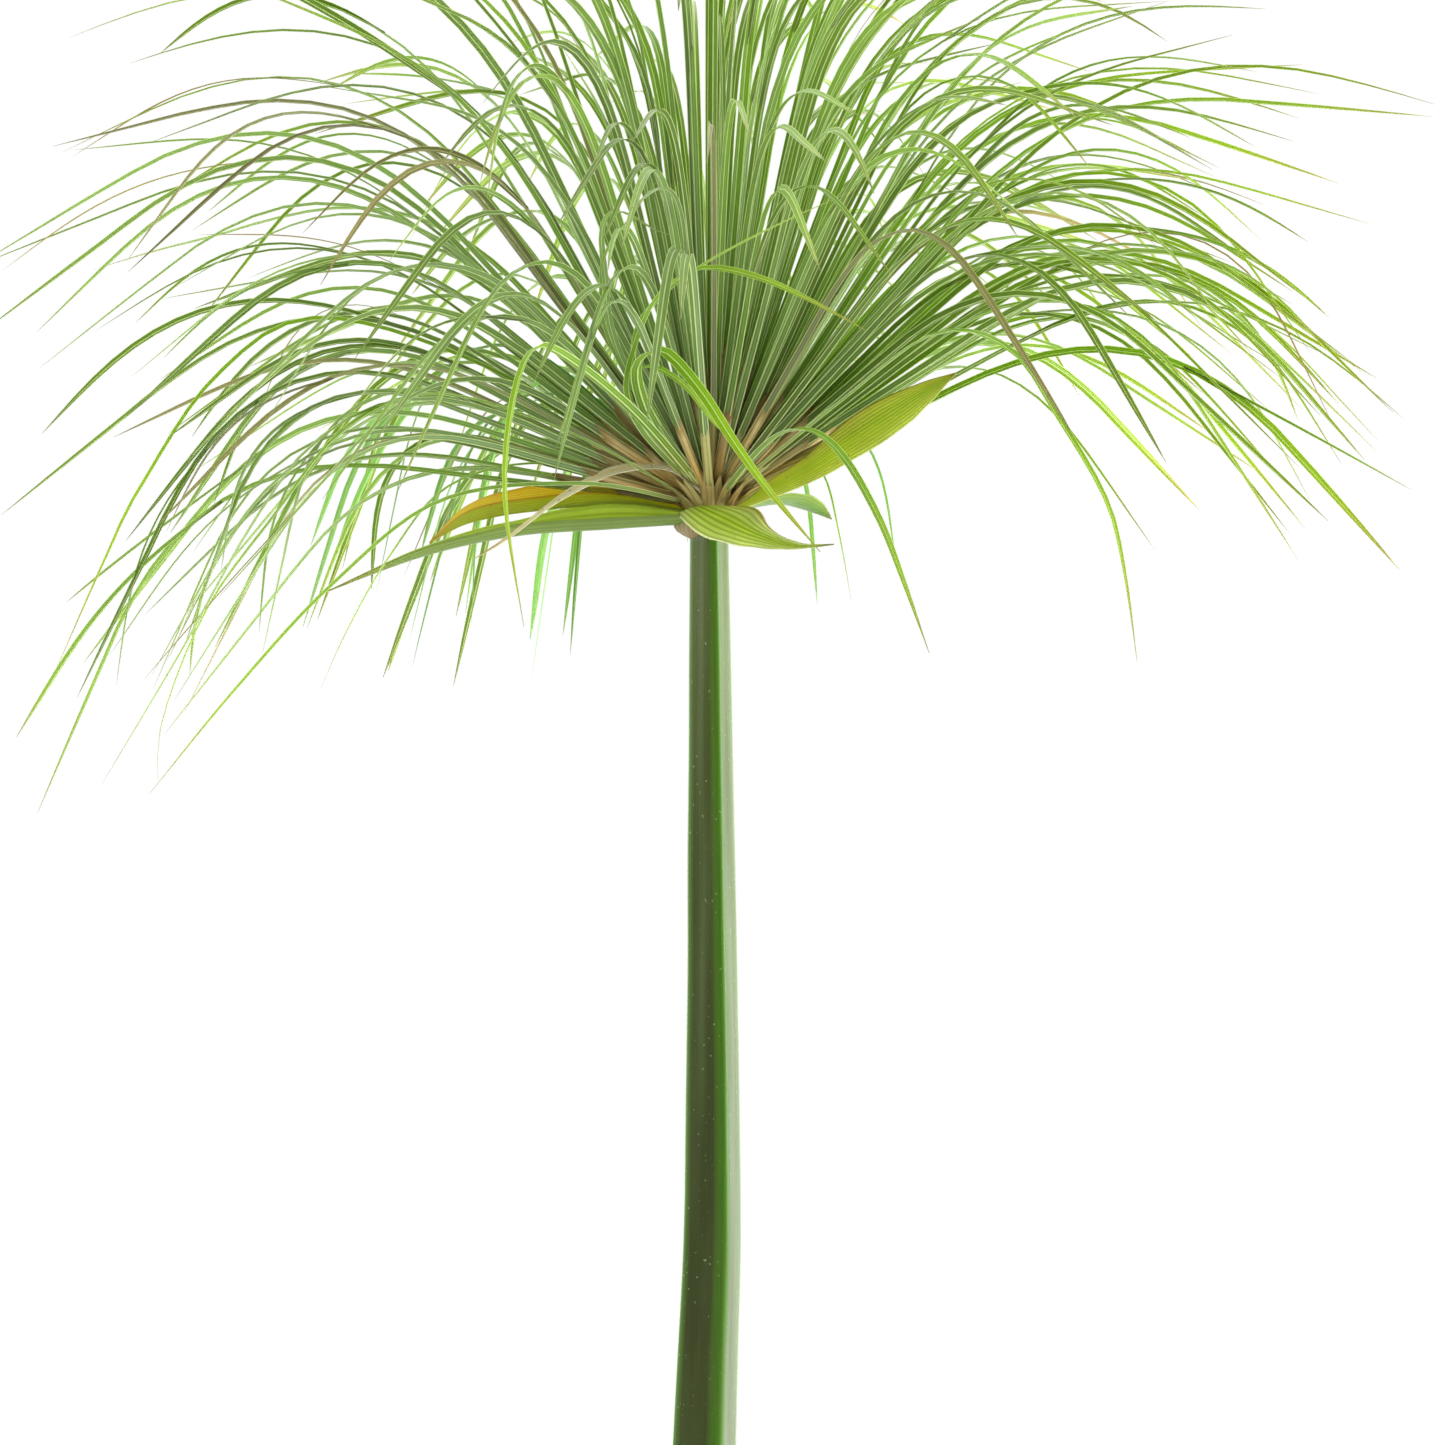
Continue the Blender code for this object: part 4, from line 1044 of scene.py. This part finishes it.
def makeRhizome(look):
    # the woody rootstock the stem grows from: knobbly bark, ringed by old scale scars
    helper = bpy.data.objects.new("helper", meshOf("roughRhizome", mergedCopy("rhizome")))
    bpy.context.scene.collection.objects.link(helper)
    remesh = helper.modifiers.new("Even", "REMESH")
    remesh.mode = "VOXEL"
    remesh.voxel_size = look["voxel"]
    bpy.context.view_layer.update()
    even = helper.evaluated_get(bpy.context.evaluated_depsgraph_get())
    build = bmesh.new()
    build.from_mesh(even.to_mesh())
    even.to_mesh_clear()
    bpy.data.objects.remove(helper)
    for step in range(look["smoothing"]):
        bmesh.ops.smooth_vert(
            build, verts=build.verts, factor=0.5, use_axis_x=True, use_axis_y=True, use_axis_z=True
        )
    build.normal_update()
    scar = build.verts.layers.float.new("scar")
    for corner in build.verts:
        place = corner.co
        wander = look["scarWander"] * noise.noise(place * 60)
        ring = (0.5 + 0.5 * math.cos((place.x + wander) / look["scarSpacing"] * math.tau)) ** 6
        lump = (noise.noise(place * 55) + noise.noise(place * 190) * 0.35) * look["lump"]
        corner.co = place + corner.normal * (lump - look["inset"] - ring * look["scarDepth"])
        corner[scar] = ring
    for face in build.faces:
        face.smooth = True
    placePiece("rootstock", meshOf("rootstock", build), ["rhizome"], [barkMaterial()])
    print("rootstock")


soilLook = {
    "seed": 21,
    "sides": 160,
    "rings": 46,
    "depth": 0.060,
    "heap": 0.003,
    "lump": 0.0030,
    "crumbs": 420,
    "crumbSize": (0.0012, 0.0036),
    "bigChance": 0.06,
    "bigFactor": 1.6,
    "clearOfWall": 0.003,
}


def soilHeight(x, y, edge, look):
    reach = math.hypot(x, y) / edge
    level = soilHigh.z - look["heap"] + look["heap"] * (1 - reach**2)
    place = Vector((x, y, 0))
    lumps = noise.noise(place * 48) * 0.6 + noise.noise(place * 150) * 0.3 + noise.noise(place * 420) * 0.14
    return level + lumps * look["lump"]


def turned(profile, sides):
    # a profile of (radius, height), from axis to axis, turned round Z into one closed shape
    build = bmesh.new()
    corners = [build.verts.new((radius, 0, height)) for radius, height in profile]
    for one, two in zip(corners, corners[1:]):
        build.edges.new((one, two))
    geometry = build.verts[:] + build.edges[:]
    bmesh.ops.spin(
        build, geom=geometry, cent=(0, 0, 0), axis=(0, 0, 1), angle=math.tau, steps=sides, use_merge=True
    )
    bmesh.ops.remove_doubles(build, verts=build.verts, dist=0.00001)
    bmesh.ops.recalc_face_normals(build, faces=build.faces)
    for face in build.faces:
        face.smooth = True
    return build


def soilMaterial():
    # peat-based potting soil: dark fibrous crumbs with a few pale grains of grit
    material, tree = newMaterial("potting soil, damp crumbled peat")
    grains = objectNoise(tree, 330.0, 5.0, roughness=0.7)  # crumbs about 3 mm
    stops = [(0.3, "#120c08"), (0.5, "#2c1e14"), (0.62, "#49351f"), (0.78, "#7b6244")]
    base = addNode(tree, "ShaderNodeValToRGB", {0: grains}, stops=stops).outputs["Color"]
    grit = objectNoise(tree, 620.0, 0.0)  # pale grit about 1.5 mm across
    colour = layered(tree, base, "#d5cfc2", grit, 0.755, 0.765, 0.9)
    return finishMaterial(material, skinOf(tree, colour, 0.95, grains, 0.0016, 1.0))


def makeSoil(look):
    edge = soilHigh.x
    bottom = soilHigh.z - look["depth"]
    profile = [(edge * ring / look["rings"], soilHigh.z) for ring in range(look["rings"] + 1)]
    profile += [(edge - 0.0006, soilHigh.z - 0.008), (edge - look["depth"] * 0.2, bottom), (0.0, bottom)]
    build = turned(profile, look["sides"])
    for corner in build.verts:
        if corner.co.z > soilHigh.z - 0.001:
            corner.co.z = soilHeight(corner.co.x, corner.co.y, edge, look)
    material = soilMaterial()
    placePiece("pottingSoil", meshOf("pottingSoil", build), ["soil"], [material])

    chance = random.Random(look["seed"])
    crumbs = bmesh.new()
    for number in range(look["crumbs"]):
        size = chance.uniform(*look["crumbSize"])
        size *= look["bigFactor"] if chance.random() < look["bigChance"] else 1.0
        reach = (edge - look["clearOfWall"] - size) * math.sqrt(chance.random())
        angle = chance.uniform(0, math.tau)
        x, y = reach * math.cos(angle), reach * math.sin(angle)
        made = bmesh.ops.create_icosphere(crumbs, subdivisions=1, radius=size)["verts"]
        for corner in made:
            corner.co *= 1 + 0.35 * noise.noise(corner.co * 600 + Vector((number, 0, 0)))
        bmesh.ops.scale(crumbs, verts=made, vec=(1.0, chance.uniform(0.6, 1.0), chance.uniform(0.45, 0.8)))
        turn = Matrix.Rotation(chance.uniform(0, math.tau), 3, "Z")
        bmesh.ops.rotate(crumbs, verts=made, cent=(0, 0, 0), matrix=turn)
        lift = soilHeight(x, y, edge, look) + size * 0.15
        bmesh.ops.translate(crumbs, verts=made, vec=(x, y, lift))
    placePiece("soilCrumbs", meshOf("soilCrumbs", crumbs), [], [material])
    print("soil and", look["crumbs"], "crumbs")


# A plain thrown terracotta pot: a tapered body under a thick turned rim band.
potLook = {
    "sides": 160,
    "footRadius": 0.084,
    "bodyTopRadius": 0.119,
    "wall": 0.009,
    "floor": 0.012,
    "bandHeight": 0.036,
    "bandProud": 0.006,
    "edgeRadius": 0.0028,
    "stepLength": 0.0018,
    "plainEnds": 0.004,
    "throwingSpacing": 0.0072,
    "throwingDepth": 0.00022,
    "wobble": 0.0007,
}


def roundedCorner(corner, before, after, radius, steps=6):
    corner, before, after = Vector(corner), Vector(before), Vector(after)
    start = corner + (before - corner).normalized() * radius
    end = corner + (after - corner).normalized() * radius
    shares = [step / steps for step in range(steps + 1)]
    return [start.lerp(corner, share).lerp(corner.lerp(end, share), share) for share in shares]


def terracotta():
    # earthenware: thrown on a wheel, fired unglazed, so it is matt and porous and lime blooms on it
    material, tree = newMaterial("terracotta, thrown and fired unglazed")
    body = objectNoise(tree, 26.0, 4.0)  # kiln shading in patches of 40 mm
    stops = [(0.3, "#8e4827"), (0.5, "#a05833"), (0.72, "#b06e48")]
    base = addNode(tree, "ShaderNodeValToRGB", {0: body}, stops=stops).outputs["Color"]
    lime = objectNoise(tree, 38.0, 6.0, (1.0, 1.0, 0.6), 0.62)  # lime bloom in streaky patches
    place = addNode(tree, "ShaderNodeTexCoord").outputs["Object"]
    height = addNode(tree, "ShaderNodeSeparateXYZ", {0: place}).outputs["Z"]
    lowDown = addNode(tree, "ShaderNodeMapRange", {0: height, 1: 0.0, 2: 0.09, 3: 0.75, 4: 0.2}).outputs[0]
    bloom = addNode(tree, "ShaderNodeMapRange", {0: lime, 1: 0.52, 2: 0.7}).outputs[0]
    bloom = addNode(tree, "ShaderNodeMath", {0: bloom, 1: lowDown}, operation="MULTIPLY").outputs[0]
    colour = layered(tree, base, "#c8b4a0", bloom)
    colour = layered(tree, colour, "#7d3f24", height, 0.012, 0.0, 0.5)  # damp at its foot
    grit = objectNoise(tree, 900.0, 2.0)  # clay grit about 1 mm
    colour = layered(tree, colour, "#8a4526", grit, 0.62, 0.72, 0.4)
    return finishMaterial(material, skinOf(tree, colour, 0.88, grit, 0.0003, 0.6))


def makePot(look):
    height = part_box("pot")[1].z
    bandFoot = height - look["bandHeight"]
    bandRadius = look["bodyTopRadius"] + look["bandProud"]

    def outer(level):
        return look["footRadius"] + (look["bodyTopRadius"] - look["footRadius"]) * level / height

    corners = [
        (0.0, look["floor"]),
        (outer(look["floor"]) - look["wall"], look["floor"]),
        (outer(height) - look["wall"], height),
        (bandRadius, height),
        (bandRadius - look["bandProud"] * 0.25, bandFoot),
        (outer(bandFoot), bandFoot - look["bandProud"] * 0.4),
        (look["footRadius"], 0.0),
        (0.0, 0.0),
    ]
    profile = [Vector(corners[0])]
    for before, corner, after in zip(corners, corners[1:], corners[2:]):
        arc = roundedCorner(corner, before, after, look["edgeRadius"])
        steps = max(2, int((arc[0] - profile[-1]).length / look["stepLength"]))
        profile += [profile[-1].lerp(arc[0], step / steps) for step in range(1, steps)] + arc
    profile.append(Vector(corners[-1]))
    low, high = look["plainEnds"], height - look["plainEnds"]
    wallFrom = look["footRadius"] * 0.8
    shaped = []
    for point in profile:
        isWall = low < point.y < high and point.x > wallFrom
        ripple = math.sin(point.y / look["throwingSpacing"] * math.tau) * look["throwingDepth"] if isWall else 0.0
        shaped.append((point.x + ripple, point.y))
    build = turned(shaped, look["sides"])
    for corner in build.verts:
        reach = math.hypot(corner.co.x, corner.co.y)
        if reach > wallFrom and corner.co.z > low:
            angle = math.atan2(corner.co.y, corner.co.x)
            wider = 1 + roundNoise(angle, 1.6, corner.co.z * 9) * look["wobble"] / reach
            corner.co.x *= wider
            corner.co.y *= wider
    placePiece("terracottaPot", meshOf("terracottaPot", build), ["pot"], [terracotta()])
    print("pot")


stageLook = {
    "distance": 2.2,
    "frameWidth": 0.5563,
    "sensor": 36.0,
    "aimRight": 0.0044,
    "aimBelowHub": 0.0837,
    "floorRadius": 2.4,
    "frontGlow": 0.82,
    "backGlow": 3.5,
    "glowFrom": 0.32,
    "glowTo": 0.92,
    # name, place, width and watts
    "lamps": [("right", (1.7, 0.35, 1.0), 1.3, 52.0), ("left", (-1.5, 0.6, 1.3), 1.0, 16.0)],
}


def makeStage(look):
    bpy.ops.mesh.primitive_circle_add(vertices=128, radius=look["floorRadius"], fill_type="NGON")
    floor = bpy.context.object
    floor.name = "floor"
    material, tree = newMaterial("studio floor, matt white paint")
    paint = addNode(tree, "ShaderNodeBsdfPrincipled", {"Base Color": "#f2f2f0", "Roughness": 0.8}).outputs[0]
    floor.data.materials.append(finishMaterial(material, paint))
    scene = bpy.context.scene
    scene.view_settings.view_transform = "Standard"
    scene.world = bpy.data.worlds.new("studio")
    scene.world.use_nodes = True
    tree = scene.world.node_tree
    tree.nodes.clear()
    direction = addNode(tree, "ShaderNodeTexCoord").outputs["Generated"]
    backwards = addNode(tree, "ShaderNodeSeparateXYZ", {0: direction}).outputs["Y"]
    # much brighter behind the plant than in front of it, as against a lit white backdrop
    levels = {0: backwards, 1: look["glowFrom"], 2: look["glowTo"], 3: look["frontGlow"], 4: look["backGlow"]}
    strength = addNode(tree, "ShaderNodeMapRange", levels).outputs[0]
    glow = addNode(tree, "ShaderNodeBackground", {"Color": "#ffffff", "Strength": strength}).outputs[0]
    white = addNode(tree, "ShaderNodeBackground", {"Color": "#ffffff", "Strength": 1.0}).outputs[0]
    seen = addNode(tree, "ShaderNodeLightPath").outputs["Is Camera Ray"]
    both = addNode(tree, "ShaderNodeMixShader", {0: seen, 1: glow, 2: white}).outputs[0]
    addNode(tree, "ShaderNodeOutputWorld", {"Surface": both})
    for name, place, size, power in look["lamps"]:
        light = bpy.data.lights.new(name, "AREA")
        light.size = size
        light.energy = power
        lamp = bpy.data.objects.new(name, light)
        lamp.location = place
        lamp.rotation_euler = (hub - Vector(place)).to_track_quat("-Z", "Y").to_euler()
        scene.collection.objects.link(lamp)
    data = bpy.data.cameras.new("camera")
    data.sensor_width = look["sensor"]
    data.lens = look["sensor"] * look["distance"] / look["frameWidth"]
    camera = bpy.data.objects.new("camera", data)
    camera.location = (look["aimRight"], -look["distance"], hub.z - look["aimBelowHub"])
    camera.rotation_euler = (math.pi / 2, 0, 0)
    scene.collection.objects.link(camera)
    scene.camera = camera
    print("stage")


makePot(potLook)
makeSoil(soilLook)
makeRhizome(rhizomeLook)
makeStem(stemLook)
makeStemSheaths(sheathLook)
makeKnob()
makeBracts(bractLooks)
makeUmbel(rayLook)
makeRearTuft(rearLook)
makeKnobScales(knobScalesLook)
makeFrontBlades(frontBladesLook)
makeStage(stageLook)
